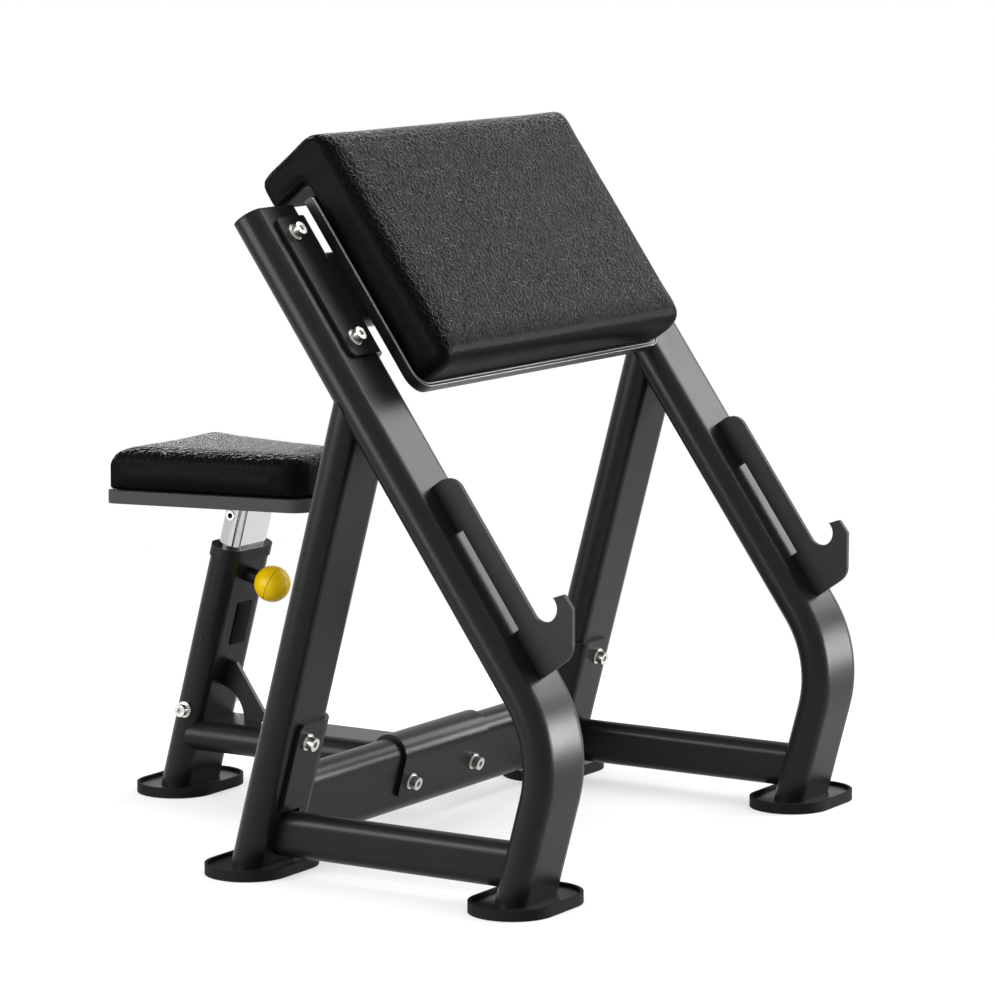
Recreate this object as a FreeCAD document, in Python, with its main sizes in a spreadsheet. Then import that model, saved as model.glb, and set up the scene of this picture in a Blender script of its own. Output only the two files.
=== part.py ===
import FreeCAD, Part
import os
import re
import Sketcher

# Preacher curl bench: two side frames of flat-oval steel tube, an arm pad on a beam between the arms,
# a seat on a chromed tube in a post behind, and a spring pin that locks the seat at its height.
# Millimetres, +Z up, the bar hooks face -Y, the seat is at +Y, the origin is on the floor at mid length.

doc = FreeCAD.newDocument("preacher_bench")
dims = doc.addObject("Spreadsheet::Sheet", "dims")

SIZES = [
    # side frames
    ("frame_spacing", 675, "between the centre planes of the side frames"),
    ("arm_angle", 55, "slope of the arms, degrees"),
    ("leg_angle", 75, "slope of every leg and of the seat post, degrees"),
    ("tube_width", 100, "flat-oval tube, wide way"),
    ("tube_depth", 40, "flat-oval tube, narrow way"),
    ("tube_wall", 3, "tube wall"),
    ("bend_radius", 150, "bend of the arm into the front leg, on the tube's axis"),
    ("bend_height", 196.5, "where the axes of arm and front leg cross"),
    ("arm_top_height", 783, "tube axis at the top end of the arm"),
    ("rear_leg_drop", 246.92, "where the rear leg meets the arm, down the arm from its end"),
    ("post_setback", 350, "post foot behind the rear foot"),
    ("rail_height", 56, "side rail, flat-oval, upright"),
    ("rail_depth", 30, "side rail, across"),
    ("rail_axis_height", 47, "side rail's axis above the floor"),
    ("cap_thickness", 3, "cap on the arm's end"),
    ("cap_plug", 14, "plug of the cap inside the tube"),
    # feet
    ("shoe_length", 162.5, "rubber shoe, across the bench"),
    ("shoe_width", 104.5, "rubber shoe, along the bench"),
    ("shoe_height", 13, "top of the shoe's rim"),
    ("shoe_floor", 3, "rubber under the foot plate"),
    ("shoe_rim", 4, "rim round the foot plate"),
    ("foot_plate_thickness", 6, "steel foot plate"),
    # saddles and their bolts
    ("saddle_thickness", 5, "plate of the U-shaped saddles"),
    ("saddle_reach", 20, "flange past the middle of the tube that it holds"),
    ("saddle_length", 190, "arm and beam saddles"),
    ("saddle_corner", 8, "rounded corners of the flanges"),
    ("bolt_inset", 22.5, "bolt from the end of its saddle"),
    ("leg_saddle_low", 24, "lower end of the leg saddles, up the leg from the floor"),
    ("leg_saddle_top", 196.5, "top of the leg saddles, up the leg from the floor"),
    ("flange_clearance", 1.5, "front flange of a leg saddle above the side rail"),
    ("bolt_size", 10, "all frame bolts"),
    ("bolt_hole", 10.6, "holes for the frame bolts"),
    ("bolt_head_width", 16.5, "round socket head"),
    ("bolt_head_height", 10, "round socket head"),
    ("socket_width", 8, "hexagon socket, corner to corner"),
    ("washer_width", 21, "washer"),
    ("washer_thickness", 2, "washer"),
    ("nut_width", 19.6, "nut, corner to corner"),
    ("nut_height", 9, "nut"),
    ("bolt_end", 3, "bolt past its nut"),
    # bar hooks
    ("hook_thickness", 6, "hook plate"),
    ("hook_length", 258, "along the arm"),
    ("hook_above_bend", 76.5, "lower end of the hook above the axis crossing, along the arm"),
    ("hook_overhang", 66, "front of the hook before the front foot's axis at the floor"),
    ("hook_rise", 33, "straight edge of the hook above the arm"),
    ("throat_radius", 17, "seat for the bar"),
    ("throat_open", 13, "throat past its top, degrees"),
    ("throat_along", 65.5, "middle of the throat from the hook's lower end"),
    ("nose_height", 82, "shoulder of the nose above the arm"),
    ("tip_height", 81, "tip of the nose above the arm"),
    ("tip_radius", 4, "rounding of the tip"),
    ("chin_radius", 24, "rounding under the nose"),
    ("hook_end_radius", 21, "rounding of the upper end"),
    ("notch_height", 6, "slot between the hook and the arm"),
    ("notch_inset", 62, "welded stretch at each end of the slot"),
    # beams
    ("beam_height", 73, "cross member's axis, up the leg from the floor"),
    ("pad_beam_drop", 110, "pad beam's axis, down the arm from its end"),
    ("seat_rail_height", 78, "seat rail's axis above the floor"),
    # arm pad
    ("pad_width", 560, "arm pad, across"),
    ("pad_drop", 262, "lower end of the pad, down the arm from its end"),
    ("pad_overhang", 70, "upper end of the pad past the arm's end"),
    ("pad_clearance", 24, "underside of the pad board above the arm's axis"),
    ("pad_board_thickness", 12.5, "board under the pad"),
    ("pad_board_margin", 3.5, "board past the cushion"),
    ("pad_board_corner", 24, "corner of the board"),
    ("pad_thickness", 53.5, "cushion over the board"),
    ("pad_crown", 3, "rise of the cushion's face at its middle"),
    ("pad_edge", 26, "rounded edges of the face"),
    ("pad_side_edge", 12, "rounded edges of the sides"),
    ("roll_depth", 57.5, "roll below the underside of the cushion"),
    ("roll_root", 50, "roll's thickness where it leaves the cushion"),
    ("roll_lip", 44, "roll's thickness at its lower end"),
    ("roll_lean", 11, "outer face of the roll leans in by this"),
    ("roll_edge", 13, "rounded lower edge of the roll"),
    ("roll_gap", 18, "between the roll and the upper end of the board"),
    ("pad_bolt_size", 8, "bolts that hold the pad"),
    ("pad_bolt_spread", 400, "outer pad bolts, apart"),
    ("pad_bolt_bite", 9, "pad bolt inside the board"),
    # seat post
    ("post_length", 338, "post, up its axis from the floor"),
    ("collar_skirt", 12, "collar outside the post"),
    ("collar_top", 3, "collar over the post's end"),
    ("collar_skin", 1.8, "collar's wall outside the post"),
    ("sleeve_length", 138, "guide sleeve inside the post"),
    ("sleeve_fit", 0.1, "sleeve to post, each side"),
    ("running_gap", 0.3, "between moving faces, each side"),
    ("sleeve_side", 6, "between the post's wall and the seat tube, at each rounded side"),
    ("sleeve_face", 2, "between the post's wall and the seat tube, at each flat"),
    ("seat_tube_wall", 3, "chromed tube's wall"),
    ("stop_bolt_height", 117.5, "stop bolt, up the post's axis"),
    ("set_screw_height", 218.5, "set screw, up the post's axis"),
    ("set_screw_size", 8, "set screw"),
    ("set_screw_proud", 0.6, "set screw past the tube's side"),
    ("eyelet_width", 12.5, "eyelet in the side of the seat tube"),
    ("eyelet_bore", 7, "hole through the eyelet"),
    ("eyelet_proud", 1, "eyelet past the tube's side"),
    ("eyelet_height", 383.5, "eyelet, up the post's axis"),
    ("gusset_thickness", 6, "gusset plate"),
    ("gusset_rise", 80, "gusset up the post"),
    ("gusset_foot", 84, "gusset along the rail"),
    ("gusset_top", 12, "gusset's width at its top"),
    ("gusset_relief", 44, "round cut-out in the gusset's corner"),
    # locking pin
    ("pin_height", 305, "locking pin, up the post's axis"),
    ("pin_size", 10, "locking pin"),
    ("pin_reach", 6, "pin past the front of the seat tube"),
    ("pin_stem", 7, "stem behind the pin's collar"),
    ("pin_collar_width", 14, "spring seat on the pin"),
    ("pin_collar_height", 2, "spring seat on the pin"),
    ("pin_travel", 7.5, "pull of the knob"),
    ("index_pitch", 25, "spacing of the index holes"),
    ("index_hole", 10.8, "index hole"),
    ("barrel_width", 20, "plunger barrel"),
    ("barrel_nose", 16, "plunger barrel in the post's wall"),
    ("barrel_bore", 15, "spring chamber"),
    ("barrel_cap", 2, "end wall of the spring chamber"),
    ("barrel_edge", 1.2, "chamfer of the barrel"),
    ("spring_wire", 1.2, "spring wire"),
    ("spring_width", 12, "spring, on the wire's middle"),
    ("knob_width", 47, "ball knob"),
    ("knob_flat", 20, "flat on the ball where the barrel meets it"),
    ("stem_bite", 16, "stem inside the ball"),
    # seat
    ("seat_floor", 385, "underside of the seat tray above the floor"),
    ("seat_front_reach", 123, "tray's front before the seat tube's axis at the tray's underside"),
    ("seat_length", 271, "tray, front to rear"),
    ("seat_front_width", 125, "tray's front edge"),
    ("seat_rear_width", 235, "tray's rear edge"),
    ("seat_front_corner", 28, "tray's front corners"),
    ("seat_rear_corner", 12, "tray's rear corners"),
    ("tray_height", 16.5, "seat tray"),
    ("tray_wall", 4, "seat tray's rim"),
    ("tray_floor", 5, "seat tray's panel"),
    ("cushion_inset", 4, "cushion inside the tray's outline"),
    ("seat_thickness", 54, "seat cushion"),
    ("seat_edge", 20, "rounded upper edge of the seat cushion"),
    ("seat_cushion_corner", 22, "rear corners of the seat cushion"),
    ("seat_tuck", 4, "rounded lower edge of the seat cushion"),
    ("seat_crown", 4, "rise of the seat cushion at its middle"),
    ("seat_plate_length", 150, "seat plate, along the bench"),
    ("seat_plate_width", 110, "seat plate, across"),
    ("seat_plate_thickness", 5, "seat plate"),
    ("seat_plate_corner", 10, "seat plate's corners"),
    ("seat_screw_inset", 16, "screws from the plate's edges"),
    ("seat_screw_size", 6, "seat screws"),
    ("seat_screw_head", 11, "seat screws' heads"),
    ("seat_screw_head_height", 3.5, "seat screws' heads"),
    ("plug_height", 16, "plug in the lower end of the seat tube"),
    ("plug_rim", 3, "rim of the plug under the tube"),
    # fits and cuts
    ("fit_gap", 0.2, "between fixed pieces that lie round each other, each side"),
    ("screw_gap", 0.2, "between a screw and its hole, each side"),
    ("cope_inset", 8, "coped end before the axis of the tube that it meets"),
    ("overrun", 60, "how far a cut runs past what it cuts"),
]

names = {name for name, value, meaning in SIZES}
for row, (name, value, meaning) in enumerate(SIZES, start=1):
    dims.set(f"A{row}", meaning)
    dims.set(f"B{row}", str(value))
    dims.setAlias(f"B{row}", name)
doc.recompute()


def formula(text):
    """Point each size named in a formula at its cell of the sheet."""
    return re.sub(r"[a-z]\w+", lambda word: f"dims.{word[0]}" if word[0] in names else word[0], text)


def size(text):
    """What a formula comes to with the sheet's sizes."""
    return float(dims.evalExpression(formula(text)))


# Directions and points that the pieces share

X = FreeCAD.Vector(1, 0, 0)
Y = FreeCAD.Vector(0, 1, 0)
Z = FreeCAD.Vector(0, 0, 1)
UP_ARM = FreeCAD.Vector(0, size("cos(arm_angle)"), size("sin(arm_angle)"))
OFF_ARM = FreeCAD.Vector(0, -size("sin(arm_angle)"), size("cos(arm_angle)"))
UP_LEG = FreeCAD.Vector(0, -size("cos(leg_angle)"), size("sin(leg_angle)"))
OFF_LEG = FreeCAD.Vector(0, -size("sin(leg_angle)"), -size("cos(leg_angle)"))

FOOT_TOP = size("shoe_floor + foot_plate_thickness")
FOOT_LEAN = size("(shoe_floor + foot_plate_thickness)/tan(leg_angle)")
MEETING_HEIGHT = "(arm_top_height - rear_leg_drop*sin(arm_angle))"
SETBACK = f"(({MEETING_HEIGHT} - bend_height)*(1/tan(arm_angle) + 1/tan(leg_angle)))"
LENGTH = size(f"hook_overhang + {SETBACK} + post_setback + shoe_width/2") - FOOT_LEAN
FRONT_FOOT = Y * (size("hook_overhang") - LENGTH / 2)
REAR_FOOT = FRONT_FOOT + Y * size(SETBACK)
POST_FOOT = REAR_FOOT + Y * size("post_setback")
BEND = FRONT_FOOT + UP_LEG * size("bend_height/sin(leg_angle)")
ARM_LENGTH = size("(arm_top_height - bend_height)/sin(arm_angle)")
ARM_TOP = BEND + UP_ARM * ARM_LENGTH
MEETING = ARM_TOP - UP_ARM * size("rear_leg_drop")
SIDES = {"left": -size("frame_spacing/2"), "right": size("frame_spacing/2")}


def frame_at(point, x_axis, z_axis):
    """Placement of a piece whose own X and Z lie along the two directions."""
    return FreeCAD.Placement(point, FreeCAD.Rotation(x_axis, z_axis.cross(x_axis), z_axis, "ZXY"))


# Building blocks: bodies, sketches and features bound to the sheet

def new_body(label, placement=FreeCAD.Placement()):
    body = doc.addObject("PartDesign::Body", label)
    body.Label = label
    body.Placement = placement
    return body


def new_sketch(body, role="XY_Plane", offset=FreeCAD.Placement()):
    sketch = body.newObject("Sketcher::SketchObject", body.Label + "_sketch")
    plane = next(item for item in body.Origin.OriginFeatures if item.Role == role)
    sketch.AttachmentSupport = (plane, "")
    sketch.MapMode = "FlatFace"
    sketch.AttachmentOffset = offset
    return sketch


def hold(sketch, kind, *where, by):
    """Add a dimension to a sketch and bind it to a formula."""
    index = sketch.addConstraint(Sketcher.Constraint(kind, *where, size(by)))
    sketch.setExpression(f"Constraints[{index}]", formula(by))


def hold_point(sketch, item, end, x, y):
    hold(sketch, "DistanceX", -1, 1, item, end, by=x)
    hold(sketch, "DistanceY", -1, 1, item, end, by=y)


def add_outline(sketch, corners):
    """A closed chain of straight lines, each corner held by its two formulas."""
    first = sketch.GeometryCount
    points = [FreeCAD.Vector(size(x), size(y), 0) for x, y in corners]
    count = len(points)
    for index in range(count):
        sketch.addGeometry(Part.LineSegment(points[index], points[(index + 1) % count]))
    for index, (x, y) in enumerate(corners):
        following = first + (index + 1) % count
        sketch.addConstraint(Sketcher.Constraint("Coincident", first + index, 2, following, 1))
        hold_point(sketch, first + index, 1, x, y)
    return first


def add_box(sketch, x_low, x_high, y_low, y_high):
    add_outline(sketch, [(x_low, y_low), (x_high, y_low), (x_high, y_high), (x_low, y_high)])


def add_circle(sketch, x, y, width):
    middle = FreeCAD.Vector(size(x), size(y), 0)
    item = sketch.addGeometry(Part.Circle(middle, Z, size(width) / 2))
    hold_point(sketch, item, 3, x, y)
    hold(sketch, "Diameter", item, by=width)


def add_oval(sketch, width, depth, upright=False, x="0", y="0"):
    """A flat oval: two straight sides joined by half circles."""
    reach = f"((({width}) - ({depth}))/2)"
    radius = size(depth) / 2
    along = Y if upright else X
    across = -X if upright else Y
    middle = FreeCAD.Vector(size(x), size(y), 0)
    far = middle + along * size(reach)
    near = middle - along * size(reach)
    start = Part.Circle(middle, Z, 1).parameter(middle + along)
    quarter = Part.Circle(middle, Z, 1).parameter(middle + Y)
    top = sketch.addGeometry(Part.LineSegment(near + across * radius, far + across * radius))
    right = sketch.addGeometry(
        Part.ArcOfCircle(Part.Circle(far, Z, radius), start - quarter, start + quarter))
    bottom = sketch.addGeometry(Part.LineSegment(far - across * radius, near - across * radius))
    left = sketch.addGeometry(
        Part.ArcOfCircle(Part.Circle(near, Z, radius), start + quarter, start + 3 * quarter))
    for one, end, other, other_end in (
            (top, 2, right, 2), (right, 1, bottom, 1), (bottom, 2, left, 2), (left, 1, top, 1)):
        sketch.addConstraint(Sketcher.Constraint("Tangent", one, end, other, other_end))
    sketch.addConstraint(Sketcher.Constraint("Equal", right, left))
    steps = (("0", reach) if upright else (reach, "0"))
    hold_point(sketch, right, 3, f"{x} + {steps[0]}", f"{y} + {steps[1]}")
    hold_point(sketch, left, 3, f"{x} - {steps[0]}", f"{y} - {steps[1]}")
    hold(sketch, "Radius", right, by=f"({depth})/2")


def add_pad(body, sketch, length, symmetric=False, downward=False):
    pad = body.newObject("PartDesign::Pad", body.Label + "_pad")
    pad.Profile = sketch
    pad.setExpression("Length", formula(length))
    pad.SideType = "Symmetric" if symmetric else "One side"
    pad.Reversed = downward
    doc.recompute()
    return pad


def add_pocket(body, sketch, length=None, symmetric=False, upward=False):
    """Cut a sketch's shape out of a body: through all of it, or to a length."""
    before = body.Shape.Volume
    pocket = body.newObject("PartDesign::Pocket", body.Label + "_pocket")
    pocket.Profile = sketch
    pocket.SideType = "Symmetric" if symmetric else "One side"
    pocket.Reversed = upward
    if length is None:
        pocket.Type = "ThroughAll"
    else:
        pocket.setExpression("Length", formula(length))
    doc.recompute()
    if not body.Shape.Volume < before:
        raise ValueError(f"a cut missed {body.Label}")
    return pocket


def add_fillet(body, radius, wanted, chamfer=False):
    """Round, or bevel, the edges of a body that a test picks."""
    kind = "PartDesign::Chamfer" if chamfer else "PartDesign::Fillet"
    base = body.Tip
    edges = [f"Edge{i}" for i, edge in enumerate(base.Shape.Edges, start=1) if wanted(edge)]
    feature = body.newObject(kind, body.Label + "_edge")
    feature.Base = (base, edges)
    feature.setExpression("Size" if chamfer else "Radius", formula(radius))
    doc.recompute()
    return feature


def trim(body, point, outward):
    """Cut off what lies beyond a plane, given in the bench's own directions."""
    inverse = body.Placement.inverse()
    inward = inverse.Rotation.multVec(outward * -1)
    turn = FreeCAD.Rotation(Z, inward)
    sketch = new_sketch(body, offset=FreeCAD.Placement(inverse.multVec(point), turn))
    reach = "(tube_width + overrun)"
    add_box(sketch, f"-{reach}", reach, f"-{reach}", reach)
    return add_pocket(body, sketch)


def drill(body, role, width, places, symmetric=True, upward=False):
    sketch = new_sketch(body, role)
    for x, y in places:
        add_circle(sketch, x, y, width)
    return add_pocket(body, sketch, symmetric=symmetric, upward=upward)


def shift(height):
    """Offset that lifts a sketch along its own normal."""
    return FreeCAD.Placement(Z * size(height), FreeCAD.Rotation())


def edges_at(corners, direction, plane="XY"):
    """A test for the straight edges along one direction that stand on given corners of a plane."""
    spots = [FreeCAD.Vector(size(a), size(b), 0) for a, b in corners]
    turn = FreeCAD.Rotation(X, size("90")) if plane == "XZ" else FreeCAD.Rotation()
    points = [turn.multVec(spot) for spot in spots]

    def stands(edge):
        if not isinstance(edge.Curve, Part.Line):
            return False
        if edge.Curve.Direction.cross(direction).Length > size("fit_gap"):
            return False
        start = edge.Vertexes[0].Point
        return any((start - point).cross(direction).Length < size("fit_gap") for point in points)
    return stands


def add_hexagon(sketch, width):
    """A regular hexagon about the origin, given by its width over corners."""
    half = f"(({width})/2)"
    add_outline(sketch, [(f"{half}*cos({turn})", f"{half}*sin({turn})") for turn in range(0, 360, 60)])


def add_bolt(label, width, head_width, head_height, length, socket):
    """A bolt on its own Z: its head stands on the origin and its shank hangs below it."""
    body = new_body(label)
    top = new_sketch(body)
    add_circle(top, "0", "0", head_width)
    add_pad(body, top, head_height)
    shank = new_sketch(body)
    add_circle(shank, "0", "0", width)
    add_pad(body, shank, length, downward=True)
    key = new_sketch(body, offset=shift(head_height))
    add_hexagon(key, socket)
    add_pocket(body, key, f"({head_height})/2")
    return body


def add_tube(label, low, high, placement, width="tube_width", depth="tube_depth", wall="tube_wall"):
    """A straight length of flat-oval tube on its own Z axis."""
    body = new_body(label, placement)
    sketch = new_sketch(body, offset=shift(low))
    add_oval(sketch, width, depth)
    add_oval(sketch, f"{width} - 2*{wall}", f"{depth} - 2*{wall}")
    add_pad(body, sketch, f"({high}) - ({low})")
    return body


def add_cut(label, base, tools):
    """A piece coped to its neighbours: what they fill is taken out of it."""
    for index, tool in enumerate(tools):
        last = index == len(tools) - 1
        cut = doc.addObject("Part::Cut", label if last else label + "_coped")
        cut.Base = base
        cut.Tool = tool
        base = cut
    base.Label = label
    doc.recompute()
    return base


def gather(label, solid, places):
    """Identical fasteners as separate solids of one piece."""
    group = doc.addObject("Part::Feature", label)
    copies = []
    for place in places:
        copy = solid.copy()
        copy.Placement = place
        copies.append(copy)
    group.Shape = Part.makeCompound(copies)
    return group


pieces = []

# Side frames: arm and front leg in one bent tube, rear leg coped under the arm, side rail, end cap

TURN = "(180 - arm_angle - leg_angle)"
STRAIGHT = f"((arm_top_height - bend_height)/sin(arm_angle) - bend_radius*tan({TURN}/2))"


def add_arm_path(body):
    """Down the arm, round the bend and down the front leg past the floor."""
    path = new_sketch(body, "YZ_Plane")
    straight = size(STRAIGHT)
    radius = size("bend_radius")
    turn = size(TURN)
    middle = FreeCAD.Vector(radius, -straight, 0)
    half_turn = Part.Circle().parameter(-X)
    end_angle = half_turn * (1 + turn / size("180"))
    arc = Part.ArcOfCircle(Part.Circle(middle, Z, radius), half_turn, end_angle)
    leg_run = f"(bend_height/sin(leg_angle) - bend_radius*tan({TURN}/2) + overrun)"
    run = size(leg_run)
    foot = arc.EndPoint + FreeCAD.Vector(size(f"sin({TURN})"), -size(f"cos({TURN})"), 0) * run
    path.addGeometry(Part.LineSegment(FreeCAD.Vector(), FreeCAD.Vector(0, -straight, 0)))
    path.addGeometry(arc)
    path.addGeometry(Part.LineSegment(arc.EndPoint, foot))
    path.addConstraint(Sketcher.Constraint("Coincident", 0, 1, -1, 1))
    path.addConstraint(Sketcher.Constraint("Vertical", 0))
    path.addConstraint(Sketcher.Constraint("Tangent", 0, 2, 1, 1))
    path.addConstraint(Sketcher.Constraint("Tangent", 1, 2, 2, 1))
    hold(path, "DistanceY", 0, 2, 0, 1, by=STRAIGHT)
    hold(path, "Radius", 1, by="bend_radius")
    hold(path, "Distance", 2, by=leg_run)
    hold(path, "DistanceX", 2, 1, 2, 2, by=f"{leg_run}*sin({TURN})")
    return path


def add_arm(label, placement, bored):
    body = new_body(label, placement)
    path = add_arm_path(body)
    profile = new_sketch(body)
    add_oval(profile, "tube_width", "tube_depth")
    pipe = body.newObject("PartDesign::AdditivePipe", label + "_pipe")
    pipe.Profile = profile
    pipe.Spine = (path, ["Edge1", "Edge2", "Edge3"])
    if bored:
        inside = new_sketch(body)
        add_oval(inside, "tube_width - 2*tube_wall", "tube_depth - 2*tube_wall")
        bore = body.newObject("PartDesign::SubtractivePipe", label + "_bore")
        bore.Profile = inside
        bore.Spine = (path, ["Edge1", "Edge2", "Edge3"])
    doc.recompute()
    trim(body, FRONT_FOOT + X * placement.Base.x + Z * FOOT_TOP, -Z)
    return body


PAD_BOLT_PLACES = [f"-pad_beam_drop {sign} (saddle_length/2 - bolt_inset)" for sign in "+-"]
LEG_BOLT_PLACE = "(leg_saddle_top - bolt_inset)"

for side, x in SIDES.items():
    arm_place = frame_at(ARM_TOP + X * x, X, UP_ARM)
    leg_place = frame_at(REAR_FOOT + X * x, X, UP_LEG)

    arm = add_arm(side + "_arm", arm_place, bored=True)
    drill(arm, "XZ_Plane", "bolt_hole", [("0", place) for place in PAD_BOLT_PLACES])
    pieces.append(arm)

    envelope = add_arm(side + "_arm_envelope", arm_place, bored=False)
    leg_top = f"({MEETING_HEIGHT}/sin(leg_angle) + overrun)"
    leg = add_tube(side + "_rear_leg_blank", "0", leg_top, leg_place)
    trim(leg, leg_place.Base + Z * FOOT_TOP, -Z)
    trim(leg, MEETING + X * x - OFF_ARM * size("cope_inset"), OFF_ARM)
    drill(leg, "XZ_Plane", "bolt_hole", [("0", LEG_BOLT_PLACE)])
    pieces.append(add_cut(side + "_rear_leg", leg, [envelope]))

    rail_place = frame_at(FRONT_FOOT + X * x + Z * size("rail_axis_height"), Z, Y)
    rail = add_tube(side + "_side_rail", "-overrun", f"{SETBACK} + overrun", rail_place,
                    width="rail_height", depth="rail_depth")
    for foot, way in ((FRONT_FOOT, OFF_LEG), (REAR_FOOT, -OFF_LEG)):
        rail_end = foot + X * x + UP_LEG * size("rail_axis_height/sin(leg_angle)")
        trim(rail, rail_end - way * size("tube_depth/2"), way)
    pieces.append(rail)

    cap = new_body(side + "_arm_cap", arm_place)
    lid = new_sketch(cap)
    add_oval(lid, "tube_width", "tube_depth")
    add_pad(cap, lid, "cap_thickness")
    plug = new_sketch(cap)
    add_oval(plug, "tube_width - 2*(tube_wall + fit_gap)", "tube_depth - 2*(tube_wall + fit_gap)")
    add_pad(cap, plug, "cap_plug", downward=True)
    pieces.append(cap)

# Feet: a steel plate under each leg, sunk in a rubber shoe with a raised rim

FEET = {
    "left_front": FRONT_FOOT + X * SIDES["left"],
    "right_front": FRONT_FOOT + X * SIDES["right"],
    "left_rear": REAR_FOOT + X * SIDES["left"],
    "right_rear": REAR_FOOT + X * SIDES["right"],
    "post": POST_FOOT,
}

for where, point in FEET.items():
    foot_place = FreeCAD.Placement(point - Y * FOOT_LEAN, FreeCAD.Rotation())
    shoe = new_body(where + "_shoe", foot_place)
    sole = new_sketch(shoe)
    add_oval(sole, "shoe_length", "shoe_width")
    add_pad(shoe, sole, "shoe_height")
    recess = new_sketch(shoe, offset=shift("shoe_floor"))
    add_oval(recess, "shoe_length - 2*shoe_rim", "shoe_width - 2*shoe_rim")
    add_pocket(shoe, recess, "shoe_height", upward=True)
    pieces.append(shoe)

    plate = new_body(where + "_foot_plate", foot_place)
    blank = new_sketch(plate, offset=shift("shoe_floor"))
    inset = "2*(shoe_rim + fit_gap)"
    add_oval(blank, f"shoe_length - {inset}", f"shoe_width - {inset}")
    add_pad(plate, blank, "foot_plate_thickness")
    pieces.append(plate)

# Bar hooks: one flat plate on each arm, its own X up the arm and Y away from it.
# The front edge of the nose is upright, so it is placed by its distance before the front foot.

HEEL = BEND + UP_ARM * size("hook_above_bend") + OFF_ARM * size("tube_depth/2")
NOSE = ("(hook_overhang - bend_height/tan(leg_angle) + hook_above_bend*cos(arm_angle)"
        " - tube_depth/2*sin(arm_angle))")
CHIN = ("0", f"{NOSE}/sin(arm_angle)")
SHOULDER = (f"(nose_height*sin(arm_angle) - {NOSE})/cos(arm_angle)", "nose_height")
TIP = ("throat_along", "tip_height")
THROAT = ("throat_along", "hook_rise + throat_radius")
TOE = ("hook_length", "hook_rise")

for side, x in SIDES.items():
    hook = new_body(side + "_bar_hook", frame_at(HEEL + X * x, UP_ARM, X))
    plate = new_sketch(hook)
    add_outline(plate, [
        ("0", "0"), CHIN, SHOULDER, TIP,
        ("throat_along + throat_radius*sin(throat_open)",
         "hook_rise + throat_radius + throat_radius*cos(throat_open)"),
        THROAT, ("throat_along", "hook_rise"), TOE, ("hook_length", "0"),
        ("hook_length - notch_inset", "0"), ("hook_length - notch_inset", "notch_height"),
        ("notch_inset", "notch_height"), ("notch_inset", "0")])
    add_pad(hook, plate, "hook_thickness", symmetric=True)
    bite = new_sketch(hook)
    add_circle(bite, *THROAT, "2*throat_radius")
    add_pocket(hook, bite, symmetric=True)
    for corner, radius in ((CHIN, "chin_radius"), (SHOULDER, "tip_radius"), (TIP, "tip_radius"),
                           (TOE, "hook_end_radius")):
        add_fillet(hook, radius, edges_at([corner], Z))
    pieces.append(hook)

# Saddles: a U of plate round the inner edge of a tube, bolted through the tube's middle.
# Its own Z runs along the tube and the closed side of the U looks along its X.

WRAP = "2*(fit_gap + saddle_thickness)"
GRIP = f"(tube_depth + {WRAP})"


def add_saddle(label, placement, low, high, bolts):
    body = new_body(label, placement)
    section = new_sketch(body, offset=shift(low))
    add_oval(section, f"tube_width + {WRAP}", GRIP)
    add_oval(section, "tube_width + 2*fit_gap", "tube_depth + 2*fit_gap")
    add_pad(body, section, f"({high}) - ({low})")
    opening = new_sketch(body, "XZ_Plane")
    add_box(opening, "-saddle_reach - tube_width", "-saddle_reach", f"{low} - overrun", f"{high} + overrun")
    add_pocket(body, opening, symmetric=True)
    corners = [("-saddle_reach", low), ("-saddle_reach", high)]
    add_fillet(body, "saddle_corner", edges_at(corners, Y, plane="XZ"))
    drill(body, "XZ_Plane", "bolt_hole", [("0", bolt) for bolt in bolts])
    return body


def add_envelope(label, placement, low, high):
    """The space that a saddle fills, for the beam that is coped to it."""
    body = new_body(label, placement)
    section = new_sketch(body, offset=shift(low))
    add_oval(section, f"tube_width + {WRAP}", GRIP)
    add_pad(body, section, f"({high}) - ({low})")
    return body


HALF_SADDLE = "saddle_length/2"
BEAM_BOLTS = [f"-({HALF_SADDLE} - bolt_inset)", f"{HALF_SADDLE} - bolt_inset"]
RAIL_TOP = "(rail_axis_height + rail_height/2)"
FLANGE_LOW = f"({RAIL_TOP}/sin(leg_angle) + {GRIP}/2/tan(leg_angle) + flange_clearance)"

BEAM_MIDDLE = REAR_FOOT + UP_LEG * size("beam_height")
PAD_BEAM_MIDDLE = ARM_TOP - UP_ARM * size("pad_beam_drop") + OFF_ARM * size("pad_clearance - tube_depth/2")

leg_envelopes = []
arm_envelopes = []
for side, x in SIDES.items():
    inward = X if x < 0 else -X
    clamp_place = frame_at(ARM_TOP - UP_ARM * size("pad_beam_drop") + X * x, inward, UP_ARM)
    pieces.append(add_saddle(side + "_pad_saddle", clamp_place, f"-{HALF_SADDLE}", HALF_SADDLE, BEAM_BOLTS))
    wrapped = add_envelope(side + "_pad_saddle_envelope", clamp_place, "-tube_width", "tube_width")
    arm_envelopes.append(wrapped)

    clamp_place = frame_at(REAR_FOOT + X * x, inward, UP_LEG)
    clamp = add_saddle(side + "_leg_saddle", clamp_place, "leg_saddle_low", "leg_saddle_top",
                       [LEG_BOLT_PLACE])
    relief = new_sketch(clamp, "XZ_Plane")
    add_box(relief, "-saddle_reach - overrun", "rail_depth/2 + flange_clearance",
            "leg_saddle_low - overrun", FLANGE_LOW)
    add_pocket(clamp, relief, upward=x < 0)
    pieces.append(clamp)
    leg_envelopes.append(add_envelope(side + "_leg_saddle_envelope", clamp_place, "0", "2*beam_height"))

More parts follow.
